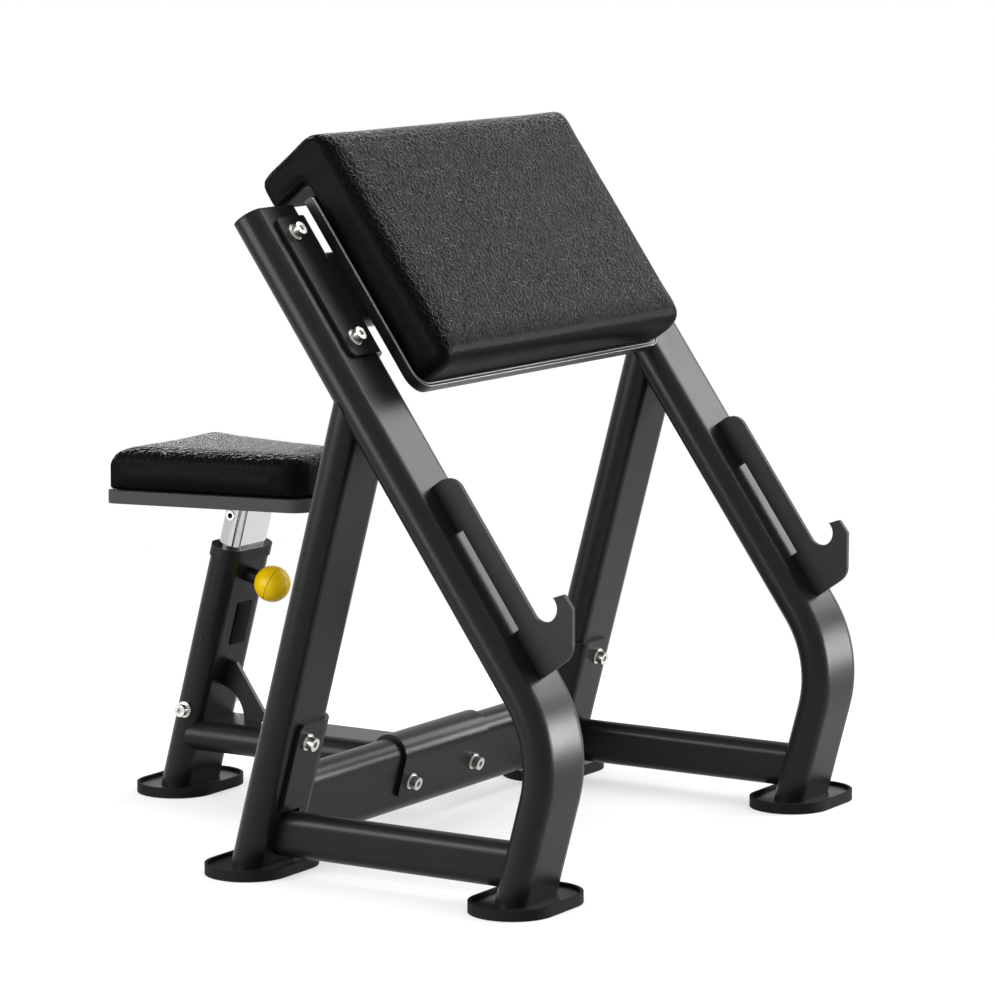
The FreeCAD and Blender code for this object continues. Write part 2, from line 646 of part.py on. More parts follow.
beam_place = frame_at(BEAM_MIDDLE, UP_LEG, X)
pieces.append(add_saddle("beam_saddle", beam_place, f"-{HALF_SADDLE}", HALF_SADDLE, BEAM_BOLTS))

# Beams between the side frames, their ends coped to the saddles

cross = add_tube("cross_member_blank", "-frame_spacing/2", "frame_spacing/2", beam_place)
drill(cross, "XZ_Plane", "bolt_hole", [("0", bolt) for bolt in BEAM_BOLTS])
pieces.append(add_cut("cross_member", cross, leg_envelopes))

PAD_BOLT_SHARES = ("-1", "-1/3", "1/3", "1")
pad_bolt_places = [f"{share}*pad_bolt_spread/2" for share in PAD_BOLT_SHARES]
PAD_BEAM_HALF = "(frame_spacing/2 - (tube_width - tube_depth)/2 - cope_inset)"
pad_beam = add_tube("pad_beam_blank", f"-{PAD_BEAM_HALF}", PAD_BEAM_HALF,
                    frame_at(PAD_BEAM_MIDDLE, UP_ARM, X))
drill(pad_beam, "XZ_Plane", "pad_bolt_size + 2*screw_gap", [("0", place) for place in pad_bolt_places])
pieces.append(add_cut("pad_beam", pad_beam, arm_envelopes))

# Seat post, its rail and gusset

post_place = frame_at(POST_FOOT, X, UP_LEG)
post = add_tube("seat_post", "0", "post_length", post_place)
trim(post, POST_FOOT + Z * FOOT_TOP, -Z)
drill(post, "XZ_Plane", "barrel_nose + 2*screw_gap", [("0", "pin_height")], symmetric=False, upward=True)
drill(post, "YZ_Plane", "bolt_hole", [("0", "stop_bolt_height")])
drill(post, "YZ_Plane", "set_screw_size + 2*screw_gap", [("0", "set_screw_height")], symmetric=False)
pieces.append(post)

post_envelope = new_body("seat_post_envelope", post_place)
section = new_sketch(post_envelope)
add_oval(section, "tube_width", "tube_depth")
add_pad(post_envelope, section, "post_length")

rail = add_tube("seat_rail_blank", "0", "post_setback + overrun",
                frame_at(REAR_FOOT + Z * size("seat_rail_height"), X, Y))
trim(rail, BEAM_MIDDLE - OFF_LEG * size(f"{GRIP}/2"), OFF_LEG)
rail_end = POST_FOOT + UP_LEG * size("seat_rail_height/sin(leg_angle)")
trim(rail, rail_end + OFF_LEG * size("cope_inset"), -OFF_LEG)
pieces.append(add_cut("seat_rail", rail, [post_envelope]))

RAIL_FLAT = "(seat_rail_height + tube_depth/2)"
post_front = f"{RAIL_FLAT}/tan(leg_angle) + tube_depth/2/sin(leg_angle)"
corner = POST_FOOT - Y * size(post_front) + Z * size(RAIL_FLAT)
gusset = new_body("gusset", frame_at(corner, -Y, -X))
plate = new_sketch(gusset)
add_outline(plate, [
    ("0", "0"), ("gusset_foot", "0"),
    ("gusset_rise*cos(leg_angle) + gusset_top*sin(leg_angle)",
     "gusset_rise*sin(leg_angle) - gusset_top*cos(leg_angle)"),
    ("gusset_rise*cos(leg_angle)", "gusset_rise*sin(leg_angle)")])
add_pad(gusset, plate, "gusset_thickness", symmetric=True)
relief = new_sketch(gusset)
add_circle(relief, "0", "0", "2*gusset_relief")
add_pocket(gusset, relief, symmetric=True)
pieces.append(gusset)

# Collar and guide sleeve in the top of the post

collar = new_body("post_collar", post_place)
BORE = ("tube_width - 2*tube_wall", "tube_depth - 2*tube_wall")
SEAT_TUBE = (f"({BORE[0]} - 2*sleeve_side)", f"({BORE[1]} - 2*sleeve_face)")
INNER = tuple(f"{way} + 2*running_gap" for way in SEAT_TUBE)
SLEEVE = tuple(f"{way} - 2*sleeve_fit" for way in BORE)
SKIRT_IN = ("tube_width + 2*fit_gap", "tube_depth + 2*fit_gap")
SKIRT_OUT = tuple(f"{way} + 2*collar_skin" for way in SKIRT_IN)
for outer, inner, length, downward in (
        (SKIRT_OUT, INNER, "collar_top", False),
        (SLEEVE, INNER, "sleeve_length", True),
        (SKIRT_OUT, SKIRT_IN, "collar_skirt", True)):
    ring = new_sketch(collar, offset=shift("post_length"))
    add_oval(ring, *outer)
    add_oval(ring, *inner)
    add_pad(collar, ring, length, downward=downward)
drill(collar, "XZ_Plane", "pin_size + 2*barrel_edge", [("0", "pin_height")], symmetric=False, upward=True)
pieces.append(collar)

screw = new_body("set_screw", frame_at(POST_FOOT + UP_LEG * size("set_screw_height"), UP_LEG, -X))
shank = new_sketch(screw, offset=shift("tube_width/2 - tube_wall"))
add_circle(shank, "0", "0", "set_screw_size")
add_pad(screw, shank, "tube_wall + set_screw_proud")
pieces.append(screw)

# Seat tube with its row of index holes, the eyelets in its sides and the plug in its lower end

TUBE_LOW = "(stop_bolt_height + bolt_size/2 + index_pitch + running_gap + plug_rim)"
TRAY_TOP = "(seat_floor + tray_height)"
PLATE_TOP = f"({TRAY_TOP} - tray_floor)"
PLATE_LOW = f"({PLATE_TOP} - seat_plate_thickness)"
INDEX_STEPS = range(-5, 2)

seat_tube = add_tube("seat_tube", TUBE_LOW, f"{PLATE_LOW}/sin(leg_angle) + overrun", post_place,
                     width=SEAT_TUBE[0], depth=SEAT_TUBE[1], wall="seat_tube_wall")
trim(seat_tube, POST_FOOT + UP_LEG * size(f"{PLATE_LOW}/sin(leg_angle)"), Z)
drill(seat_tube, "XZ_Plane", "index_hole",
      [("0", f"pin_height + {step}*index_pitch") for step in INDEX_STEPS], symmetric=False, upward=True)
drill(seat_tube, "YZ_Plane", "eyelet_width + 2*screw_gap", [("0", "eyelet_height")])
pieces.append(seat_tube)

eyelet = new_body("eyelet_blank")
ring = new_sketch(eyelet)
add_circle(ring, "0", "0", "eyelet_width")
add_circle(ring, "0", "0", "eyelet_bore")
add_pad(eyelet, ring, "seat_tube_wall + eyelet_proud")
eyelet_middle = POST_FOOT + UP_LEG * size("eyelet_height")
eyelet_reach = size(f"{SEAT_TUBE[0]}/2 - seat_tube_wall")
pieces.append(gather("seat_eyelets", eyelet.Shape, [
    frame_at(eyelet_middle + way * eyelet_reach, UP_LEG, way) for way in (X, -X)]))

plug = new_body("tube_plug", post_place)
rim = new_sketch(plug, offset=shift(TUBE_LOW))
add_oval(rim, *SEAT_TUBE)
add_pad(plug, rim, "plug_rim", downward=True)
core = new_sketch(plug, offset=shift(TUBE_LOW))
inset = "2*(seat_tube_wall + fit_gap)"
add_oval(core, *(f"{way} - {inset}" for way in SEAT_TUBE))
add_pad(plug, core, "plug_height")
pieces.append(plug)

# Locking pin: barrel in the post's wall, spring, pin and ball knob, all turned about one axis.
# Its own Z points out of the front of the post, from the middle of the post.

pin_place = frame_at(POST_FOOT + UP_LEG * size("pin_height"), X, OFF_LEG)
WALL_OUT = "(tube_depth/2)"
COLLAR_LOW = f"({WALL_OUT} + running_gap)"
COLLAR_HIGH = f"({COLLAR_LOW} + pin_collar_height)"
COIL_TURNS = 3
CHAMBER_END = f"({COLLAR_HIGH} + pin_travel + {COIL_TURNS + 1}*spring_wire)"
BARREL_END = f"({CHAMBER_END} + barrel_cap)"
PIN_TIP = f"({SEAT_TUBE[1]}/2 - pin_reach)"
KNOB_FLAT = f"({BARREL_END} + running_gap)"
KNOB_MIDDLE = f"({KNOB_FLAT} + sqrt((knob_width/2)^2 - (knob_flat/2)^2))"
STEM_END = f"({KNOB_FLAT} + stem_bite)"


def add_turned(label, corners):
    """A piece turned about its own Z from corners given as radius and height."""
    body = new_body(label, pin_place)
    sketch = new_sketch(body, "XZ_Plane")
    add_outline(sketch, corners)
    turned = body.newObject("PartDesign::Revolution", label + "_turned")
    turned.Profile = sketch
    turned.ReferenceAxis = (sketch, ["V_Axis"])
    doc.recompute()
    return body


bore = "pin_size/2 + running_gap"
stem_bore = "pin_stem/2 + running_gap"
pieces.append(add_turned("plunger_barrel", [
    (bore, f"{WALL_OUT} - tube_wall"), ("barrel_nose/2", f"{WALL_OUT} - tube_wall"),
    ("barrel_nose/2", WALL_OUT), ("barrel_width/2", WALL_OUT),
    ("barrel_width/2", f"{BARREL_END} - barrel_edge"), ("barrel_width/2 - barrel_edge", BARREL_END),
    (stem_bore, BARREL_END), (stem_bore, CHAMBER_END), ("barrel_bore/2", CHAMBER_END),
    ("barrel_bore/2", WALL_OUT), (bore, WALL_OUT)]))

pieces.append(add_turned("plunger_pin", [
    ("0", PIN_TIP), ("pin_size/2 - barrel_edge", PIN_TIP), ("pin_size/2", f"{PIN_TIP} + barrel_edge"),
    ("pin_size/2", COLLAR_LOW), ("pin_collar_width/2", COLLAR_LOW), ("pin_collar_width/2", COLLAR_HIGH),
    ("pin_stem/2", COLLAR_HIGH), ("pin_stem/2", STEM_END), ("0", STEM_END)]))

knob = new_body("ball_knob", pin_place)
profile = new_sketch(knob, "XZ_Plane")
flat = FreeCAD.Vector(size("knob_flat/2"), size(KNOB_FLAT), 0)
low = FreeCAD.Vector(0, size(KNOB_FLAT), 0)
ball = Part.Circle(FreeCAD.Vector(0, size(KNOB_MIDDLE), 0), Z, size("knob_width/2"))
pole = ball.Center + Y * ball.Radius
profile.addGeometry(Part.LineSegment(low, flat))
profile.addGeometry(Part.ArcOfCircle(ball, ball.parameter(flat) - 2 * ball.parameter(ball.Center - X),
                                     ball.parameter(pole)))
profile.addGeometry(Part.LineSegment(pole, low))
for index in range(3):
    profile.addConstraint(Sketcher.Constraint("Coincident", index, 2, (index + 1) % 3, 1))
hold_point(profile, 0, 1, "0", KNOB_FLAT)
hold_point(profile, 0, 2, "knob_flat/2", KNOB_FLAT)
hold_point(profile, 1, 3, "0", KNOB_MIDDLE)
hold(profile, "DistanceX", -1, 1, 2, 1, by="0")
turned = knob.newObject("PartDesign::Revolution", "ball_knob_turned")
turned.Profile = profile
turned.ReferenceAxis = (profile, ["V_Axis"])
doc.recompute()
socket = new_sketch(knob, offset=shift(KNOB_FLAT))
add_circle(socket, "0", "0", "pin_stem + 2*fit_gap")
add_pocket(knob, socket, "stem_bite + running_gap", upward=True)
pieces.append(knob)

# The spring is a round wire carried along short straight chords of its coil.

CHORDS_PER_TURN = 12
WIRE_SIDES = 8
coil_low = size(f"{COLLAR_HIGH} + spring_wire/2 + fit_gap")
coil_high = size(f"{CHAMBER_END} - spring_wire/2 - fit_gap")
chords = COIL_TURNS * CHORDS_PER_TURN
coil_points = []
for step in range(chords + 1):
    spin = FreeCAD.Rotation(Z, size("360") * step / CHORDS_PER_TURN)
    height = coil_low + (coil_high - coil_low) * step / chords
    coil_points.append(spin.multVec(X * size("spring_width/2")) + Z * height)
coil = Part.makePolygon(coil_points)
start = FreeCAD.Rotation(Z, coil_points[1] - coil_points[0])
wire_points = []
for step in range(WIRE_SIDES + 1):
    spin = FreeCAD.Rotation(Z, size("360") * step / WIRE_SIDES)
    wire_points.append(coil_points[0] + start.multVec(spin.multVec(X * size("spring_wire/2"))))
wire = Part.makePolygon(wire_points)
spring = doc.addObject("Part::Feature", "plunger_spring")
spring.Shape = coil.makePipeShell([wire], True, True, 1)
spring.Placement = pin_place
pieces.append(spring)

# Seat: plate on the tube, tray and crowned cushion.
# Their own X runs to the rear, Y up and Z across, from the middle of the tray's front edge.

SEAT_SIDE = "((seat_rear_width - seat_front_width)/2/seat_length)"
seat_axis = POST_FOOT - Y * size("seat_floor/tan(leg_angle)")
seat_place = frame_at(seat_axis - Y * size("seat_front_reach") + Z * size("seat_floor"), Y, X)


def level(height):
    """Offset that lifts a sketch on the XZ plane to a height along Y."""
    return shift(f"-({height})")


def add_seat_outline(sketch, inset):
    front = f"({inset})"
    rear = f"(seat_length - ({inset}))"
    slant = f"({inset})*sqrt(1 + {SEAT_SIDE}^2)"
    front_half = f"(seat_front_width/2 + {SEAT_SIDE}*{front} - {slant})"
    rear_half = f"(seat_front_width/2 + {SEAT_SIDE}*{rear} - {slant})"
    corners = [(front, f"-{front_half}"), (rear, f"-{rear_half}"), (rear, rear_half), (front, front_half)]
    add_outline(sketch, corners)
    return [corners[0], corners[3]], corners[1:3]


tray = new_body("seat_tray", seat_place)
plan = new_sketch(tray, "XZ_Plane")
outside = add_seat_outline(plan, "0")
add_pad(tray, plan, "tray_height", downward=True)
hollow = new_sketch(tray, "XZ_Plane")
inside = add_seat_outline(hollow, "tray_wall")
add_pocket(tray, hollow, "tray_height - tray_floor")
for (front_corners, rear_corners), wall in ((inside, "tray_wall"), (outside, "0")):
    add_fillet(tray, f"seat_front_corner - {wall}", edges_at(front_corners, Y, plane="XZ"))
    add_fillet(tray, f"seat_rear_corner - {wall}", edges_at(rear_corners, Y, plane="XZ"))

SCREW_X = "(seat_plate_length/2 - seat_screw_inset)"
SCREW_Z = "(seat_plate_width/2 - seat_screw_inset)"
PLATE_X = f"(seat_front_reach - ({PLATE_LOW} - seat_floor)/tan(leg_angle))"
screw_places = [(f"{PLATE_X} {a} {SCREW_X}", f"{b}{SCREW_Z}") for a in "+-" for b in "+-"]
drill(tray, "XZ_Plane", "seat_screw_size + 2*screw_gap", screw_places)
pieces.append(tray)

plate = new_body("seat_plate", seat_place)
plan = new_sketch(plate, "XZ_Plane", offset=level(f"{PLATE_LOW} - seat_floor"))
half_length = "seat_plate_length/2"
half_width = "seat_plate_width/2"
plate_corners = [(f"{PLATE_X} {a} {half_length}", f"{b}{half_width}") for a, b in ("--", "+-", "++", "-+")]
add_outline(plan, plate_corners)
add_pad(plate, plan, "seat_plate_thickness", downward=True)
add_fillet(plate, "seat_plate_corner", edges_at(plate_corners, Y, plane="XZ"))
drill(plate, "XZ_Plane", "seat_screw_size + 2*screw_gap", screw_places)
pieces.append(plate)

screw = add_bolt("seat_screw_blank", "seat_screw_size", "seat_screw_head", "seat_screw_head_height",
                 "seat_plate_thickness + tray_floor - fit_gap", "seat_screw_size/2")
screw_points = [FreeCAD.Vector(size(x), size(f"{PLATE_LOW} - seat_floor"), size(z)) for x, z in screw_places]
pieces.append(gather("seat_screws", screw.Shape, [
    frame_at(seat_place.multVec(point), X, -Z) for point in screw_points]))


def add_crown(body, low, high, top, crown):
    """Shave the top of a cushion to a surface that rises gently to its middle."""
    sketch = new_sketch(body)
    first = FreeCAD.Vector(size(low), size(top), 0)
    last = FreeCAD.Vector(size(high), size(top), 0)
    peak = (first + last) / 2 + Y * size(crown)
    rise = Y * size("overrun")
    sketch.addGeometry(Part.Arc(last, peak, first))
    sketch.addGeometry(Part.LineSegment(first, first + rise))
    sketch.addGeometry(Part.LineSegment(first + rise, last + rise))
    sketch.addGeometry(Part.LineSegment(last + rise, last))
    sketch.addConstraint(Sketcher.Constraint("Coincident", 0, 2, 1, 1))
    sketch.addConstraint(Sketcher.Constraint("Coincident", 1, 2, 2, 1))
    sketch.addConstraint(Sketcher.Constraint("Coincident", 2, 2, 3, 1))
    sketch.addConstraint(Sketcher.Constraint("Coincident", 3, 2, 0, 1))
    hold_point(sketch, 1, 1, low, top)
    hold_point(sketch, 1, 2, low, f"{top} + overrun")
    hold_point(sketch, 2, 2, high, f"{top} + overrun")
    hold_point(sketch, 3, 2, high, top)
    hold(sketch, "Radius", 0, by=f"(({high}) - ({low}))^2/8/({crown}) + ({crown})/2")
    return add_pocket(body, sketch, symmetric=True)


def top_edges(body):
    """A test for the edges round the uppermost face of a body."""
    top = max(body.Tip.Shape.Faces, key=lambda face: face.CenterOfMass.y)
    return lambda edge: any(edge.isSame(other) for other in top.Edges)


cushion = new_body("seat_cushion", seat_place)
plan = new_sketch(cushion, "XZ_Plane", offset=level("tray_height"))
front_corners, rear_corners = add_seat_outline(plan, "cushion_inset")
add_pad(cushion, plan, "seat_thickness", downward=True)
add_fillet(cushion, "seat_front_corner", edges_at(front_corners, Y, plane="XZ"))
add_fillet(cushion, "seat_cushion_corner", edges_at(rear_corners, Y, plane="XZ"))
add_crown(cushion, "0", "seat_length", "tray_height + seat_thickness - seat_crown", "seat_crown")
add_fillet(cushion, "seat_edge", top_edges(cushion))
add_fillet(cushion, "seat_tuck", lambda edge: edge.BoundBox.YMax < size("tray_height + fit_gap"))
pieces.append(cushion)

# Arm pad: board and L-shaped cushion with a roll over the arms' ends.
# Their own X runs up the arm, Y away from it and Z across, from the arm's end on its axis.

pad_place = frame_at(ARM_TOP, UP_ARM, X)
PAD_LOW = "(pad_clearance + pad_board_thickness)"
PAD_HIGH = f"({PAD_LOW} + pad_thickness)"

board = new_body("pad_board", pad_place)
plan = new_sketch(board, "XZ_Plane", offset=level("pad_clearance"))
board_half = "(pad_width/2 + pad_board_margin)"
board_low = "(-pad_drop - pad_board_margin)"
board_high = "(pad_overhang - roll_root - roll_gap)"
add_box(plan, board_low, board_high, f"-{board_half}", board_half)
add_pad(board, plan, "pad_board_thickness", downward=True)
add_fillet(board, "pad_board_corner", edges_at([(board_low, f"-{board_half}"), (board_low, board_half)], Y,
                                               plane="XZ"))
seats = new_sketch(board, "XZ_Plane", offset=level("pad_clearance"))
for place in pad_bolt_places:
    add_circle(seats, "-pad_beam_drop", place, "pad_bolt_size + 2*screw_gap")
add_pocket(board, seats, "pad_bolt_bite + fit_gap")
pieces.append(board)

cushion = new_body("pad_cushion", pad_place)
profile = new_sketch(cushion)
lip = "(pad_overhang - roll_lean)"
roll_low = f"({PAD_LOW} - roll_depth)"
add_outline(profile, [
    ("-pad_drop", PAD_LOW), ("-pad_drop", f"{PAD_HIGH} + pad_crown"),
    ("pad_overhang", f"{PAD_HIGH} + pad_crown"), (lip, roll_low), (f"{lip} - roll_lip", roll_low),
    ("pad_overhang - roll_root", PAD_LOW)])
add_pad(cushion, profile, "pad_width", symmetric=True)
add_crown(cushion, "-pad_drop", "pad_overhang", PAD_HIGH, "pad_crown")
half_pad = size("pad_width/2")
half_height = size(f"{PAD_HIGH} - pad_thickness/2")


def spans_pad(edge):
    return edge.BoundBox.ZLength > half_pad


def beside_pad(edge):
    flat = edge.BoundBox.ZLength < size("fit_gap")
    return flat and abs(edge.BoundBox.ZMin) > half_pad - size("fit_gap")


add_fillet(cushion, "pad_edge", lambda edge: spans_pad(edge) and edge.BoundBox.YMin > half_height)
add_fillet(cushion, "roll_edge", lambda edge: spans_pad(edge) and edges_at([(lip, roll_low)], Z)(edge))
add_fillet(cushion, "pad_side_edge", lambda edge: beside_pad(edge) and edge.BoundBox.YMax > half_height)
pieces.append(cushion)

# Fasteners of the frame, each kind as one piece: bolts with round socket heads, washers and nuts.
# Each seat is the middle of a gripped tube and the direction that the bolt's head looks.

FRAME_GRIP = size(GRIP)
seats = []
for side, x in SIDES.items():
    for place in PAD_BOLT_PLACES:
        seats.append((ARM_TOP + X * x + UP_ARM * size(place), OFF_ARM))
    seats.append((REAR_FOOT + X * x + UP_LEG * size(LEG_BOLT_PLACE), OFF_LEG))
for place in BEAM_BOLTS:
    seats.append((BEAM_MIDDLE + X * size(place), OFF_LEG))

washer_gap = size("washer_thickness")
bolt = add_bolt("frame_bolt_blank", "bolt_size", "bolt_head_width", "bolt_head_height",
                f"{GRIP} + 2*washer_thickness + nut_height + bolt_end", "socket_width")
pieces.append(gather("frame_bolts", bolt.Shape, [
    frame_at(point + way * (FRAME_GRIP / 2 + washer_gap), X, way) for point, way in seats]))

stop_middle = POST_FOOT + UP_LEG * size("stop_bolt_height")
stop_reach = size("tube_width/2")
stop_bolt = add_bolt("stop_bolt", "bolt_size", "bolt_head_width", "bolt_head_height",
                     "tube_width + 2*washer_thickness + nut_height + bolt_end", "socket_width")
stop_bolt.Placement = frame_at(stop_middle - X * (stop_reach + washer_gap), UP_LEG, -X)
pieces.append(stop_bolt)

washer = new_body("washer_blank")
ring = new_sketch(washer)
add_circle(ring, "0", "0", "washer_width")
add_circle(ring, "0", "0", "bolt_hole")
add_pad(washer, ring, "washer_thickness")
washer_places = []
nut_places = []
for point, way in seats:
    for face in (way, -way):
        washer_places.append(frame_at(point + face * (FRAME_GRIP / 2), X, face))
    nut_places.append(frame_at(point - way * (FRAME_GRIP / 2 + washer_gap), X, -way))
for face in (X, -X):
    washer_places.append(frame_at(stop_middle + face * stop_reach, UP_LEG, face))
nut_places.append(frame_at(stop_middle + X * (stop_reach + washer_gap), UP_LEG, X))
pieces.append(gather("frame_washers", washer.Shape, washer_places))

nut = new_body("nut_blank")
section = new_sketch(nut)
add_hexagon(section, "nut_width")
add_circle(section, "0", "0", "bolt_hole")
add_pad(nut, section, "nut_height")
pieces.append(gather("frame_nuts", nut.Shape, nut_places))

bolt = add_bolt("pad_bolt_blank", "pad_bolt_size", "2*pad_bolt_size", "pad_bolt_size/2",
                "tube_depth + pad_bolt_bite", "pad_bolt_size/2")
pad_bolt_seat = PAD_BEAM_MIDDLE - OFF_ARM * size("tube_depth/2")
pieces.append(gather("pad_bolts", bolt.Shape, [
    frame_at(pad_bolt_seat + X * size(place), X, -OFF_ARM) for place in pad_bolt_places]))

# Check every piece, then write each to its own file

doc.recompute()
for item in doc.Objects:
    if "Invalid" in item.State or "Error" in item.State:
        raise ValueError(f"{item.Label} did not build")

os.makedirs("parts", exist_ok=True)
for piece in pieces:
    if piece.Shape.isNull() or not piece.Shape.isValid():
        raise ValueError(f"{piece.Label} has no sound shape")
    piece.Shape.exportStep(f"parts/{piece.Label}.step")
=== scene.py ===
import math
import bmesh
import bpy
from mathutils import Matrix, Vector


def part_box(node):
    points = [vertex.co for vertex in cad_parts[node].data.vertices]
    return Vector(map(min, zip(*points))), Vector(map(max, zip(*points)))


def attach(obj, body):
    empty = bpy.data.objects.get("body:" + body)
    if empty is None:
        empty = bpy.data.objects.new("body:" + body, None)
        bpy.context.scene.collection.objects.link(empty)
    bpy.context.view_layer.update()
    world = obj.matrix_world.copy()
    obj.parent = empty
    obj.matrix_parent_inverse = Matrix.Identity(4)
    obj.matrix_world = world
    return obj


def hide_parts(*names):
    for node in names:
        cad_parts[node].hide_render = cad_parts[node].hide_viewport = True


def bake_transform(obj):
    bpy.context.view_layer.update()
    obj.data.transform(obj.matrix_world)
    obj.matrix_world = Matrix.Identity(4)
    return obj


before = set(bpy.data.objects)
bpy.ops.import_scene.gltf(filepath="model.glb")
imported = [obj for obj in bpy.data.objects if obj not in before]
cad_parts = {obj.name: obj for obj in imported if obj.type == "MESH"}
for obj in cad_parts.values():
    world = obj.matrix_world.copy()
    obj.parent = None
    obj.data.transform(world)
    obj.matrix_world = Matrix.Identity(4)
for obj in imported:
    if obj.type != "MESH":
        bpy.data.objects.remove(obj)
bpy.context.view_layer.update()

# Shoes: five ovals of black moulded rubber, pressed over the foot plates so that their rims stand up.
# The rubber is matt, faintly mottled by the mould and a little dusty.

SHOES = ["left_front_shoe", "right_front_shoe", "left_rear_shoe", "right_rear_shoe", "post_shoe"]


def hex_colour(code):
    """An sRGB hex colour as the linear one that a shader takes."""
    parts = [int(code[place:place + 2], 16) / 255 for place in (1, 3, 5)]
    return (*(part / 12.92 if part < 0.04045 else ((part + 0.055) / 1.055) ** 2.4 for part in parts), 1)


def put(tree, kind, inputs, **settings):
    """A node with its settings, each of its inputs a value or the output of another node."""
    node = tree.nodes.new(kind)
    for name, value in settings.items():
        setattr(node, name, value)
    for name, value in inputs.items():
        if isinstance(value, bpy.types.NodeSocket):
            tree.links.new(value, node.inputs[name])
        else:
            node.inputs[name].default_value = value
    return node


def new_finish(name):
    """A material with an empty node tree, and that tree."""
    finish = bpy.data.materials.new(name)
    finish.use_nodes = True
    finish.node_tree.nodes.clear()
    return finish, finish.node_tree


def dress(names, finish):
    """Give each of the CAD nodes this material."""
    for name in names:
        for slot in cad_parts[name].material_slots:
            slot.material = finish


# Natural rubber with carbon black: 12 mm mottling, and a mould grain that is drawn at 1.5 mm to show.
moulded_rubber, tree = new_finish("moulded_rubber")
spot = put(tree, "ShaderNodeTexCoord", {}).outputs["Object"]
mottle = put(tree, "ShaderNodeTexNoise", {"Vector": spot, "Scale": 1 / 0.012, "Detail": 3}).outputs["Fac"]
grain = put(tree, "ShaderNodeTexNoise", {"Vector": spot, "Scale": 1 / 0.0015, "Detail": 2}).outputs["Fac"]
colour = put(tree, "ShaderNodeMix", {0: mottle, 6: hex_colour("#0c0c0d"), 7: hex_colour("#171718")},
             data_type="RGBA").outputs[2]
bump = put(tree, "ShaderNodeBump", {"Height": grain, "Strength": 0.3, "Distance": 0.0003}).outputs["Normal"]
dull = put(tree, "ShaderNodeMapRange", {"Value": mottle, "To Min": 0.62, "To Max": 0.78}).outputs["Result"]
skin = put(tree, "ShaderNodeBsdfPrincipled", {
    "Base Color": colour, "Roughness": dull, "IOR": 1.52, "Specular IOR Level": 0.08, "Normal": bump})
put(tree, "ShaderNodeOutputMaterial", {"Surface": skin.outputs["BSDF"]})
dress(SHOES, moulded_rubber)

# Side frames, beams and post: flat-oval steel tube, bent, coped and welded, with welded foot plates and
# pressed saddles bolted round the joints. All of it has one black powder coat, baked on after welding.

TUBES = ["left_arm", "right_arm", "left_rear_leg", "right_rear_leg", "left_side_rail", "right_side_rail",
         "cross_member", "pad_beam", "seat_rail", "seat_post", "gusset"]
PLATES = ["left_front_foot_plate", "right_front_foot_plate", "left_rear_foot_plate", "right_rear_foot_plate",
          "post_foot_plate", "left_pad_saddle", "right_pad_saddle", "left_leg_saddle", "right_leg_saddle",
          "beam_saddle", "seat_plate"]

# Satin polyester powder coat: an orange peel of 2.5 mm dimples, fine flecks and slow swings in gloss.
powder_coat, tree = new_finish("satin_powder_coat")
spot = put(tree, "ShaderNodeTexCoord", {}).outputs["Object"]
peel = put(tree, "ShaderNodeTexNoise", {"Vector": spot, "Scale": 1 / 0.0025, "Detail": 1}).outputs["Fac"]
fleck = put(tree, "ShaderNodeTexNoise", {"Vector": spot, "Scale": 1 / 0.001, "Detail": 1}).outputs["Fac"]
swing = put(tree, "ShaderNodeTexNoise", {"Vector": spot, "Scale": 1 / 0.06, "Detail": 2}).outputs["Fac"]
colour = put(tree, "ShaderNodeMix", {0: fleck, 6: hex_colour("#0e0e0f"), 7: hex_colour("#1b1b1c")},
             data_type="RGBA").outputs[2]
bump = put(tree, "ShaderNodeBump", {"Height": peel, "Strength": 0.2, "Distance": 0.0004}).outputs["Normal"]
dull = put(tree, "ShaderNodeMapRange", {"Value": swing, "To Min": 0.26, "To Max": 0.36}).outputs["Result"]
skin = put(tree, "ShaderNodeBsdfPrincipled", {
    "Base Color": colour, "Roughness": dull, "IOR": 1.5, "Specular IOR Level": 0.14, "Normal": bump})
put(tree, "ShaderNodeOutputMaterial", {"Surface": skin.outputs["BSDF"]})
dress(TUBES + PLATES, powder_coat)

# Bar hooks: plates cut to a J and welded on the arms, with a coarser and flatter black coat
# that grips the bar and hides its scratches.

HOOKS = ["left_bar_hook", "right_bar_hook"]

# Textured powder coat: hard grit of about 1.2 mm, which scatters the light.
grit_coat, tree = new_finish("textured_powder_coat")
spot = put(tree, "ShaderNodeTexCoord", {}).outputs["Object"]
grit = put(tree, "ShaderNodeTexNoise", {"Vector": spot, "Scale": 1 / 0.0012, "Detail": 2}).outputs["Fac"]
rub = put(tree, "ShaderNodeTexNoise", {"Vector": spot, "Scale": 1 / 0.02, "Detail": 3}).outputs["Fac"]
colour = put(tree, "ShaderNodeMix", {0: grit, 6: hex_colour("#101011"), 7: hex_colour("#242425")},
             data_type="RGBA").outputs[2]
bump = put(tree, "ShaderNodeBump", {"Height": grit, "Strength": 0.35, "Distance": 0.0004}).outputs["Normal"]
dull = put(tree, "ShaderNodeMapRange", {"Value": rub, "To Min": 0.5, "To Max": 0.64}).outputs["Result"]
skin = put(tree, "ShaderNodeBsdfPrincipled", {
    "Base Color": colour, "Roughness": dull, "IOR": 1.5, "Specular IOR Level": 0.22, "Normal": bump})
put(tree, "ShaderNodeOutputMaterial", {"Surface": skin.outputs["BSDF"]})
dress(HOOKS, grit_coat)

# Bolts, washers, nuts and screws: zinc-plated steel, turned and rolled, with hexagon sockets.
# The locking pin and the eyelets in the seat tube have the same plating.

FASTENERS = ["frame_bolts", "frame_nuts", "frame_washers", "pad_bolts", "stop_bolt", "seat_screws",
             "seat_eyelets", "plunger_pin"]

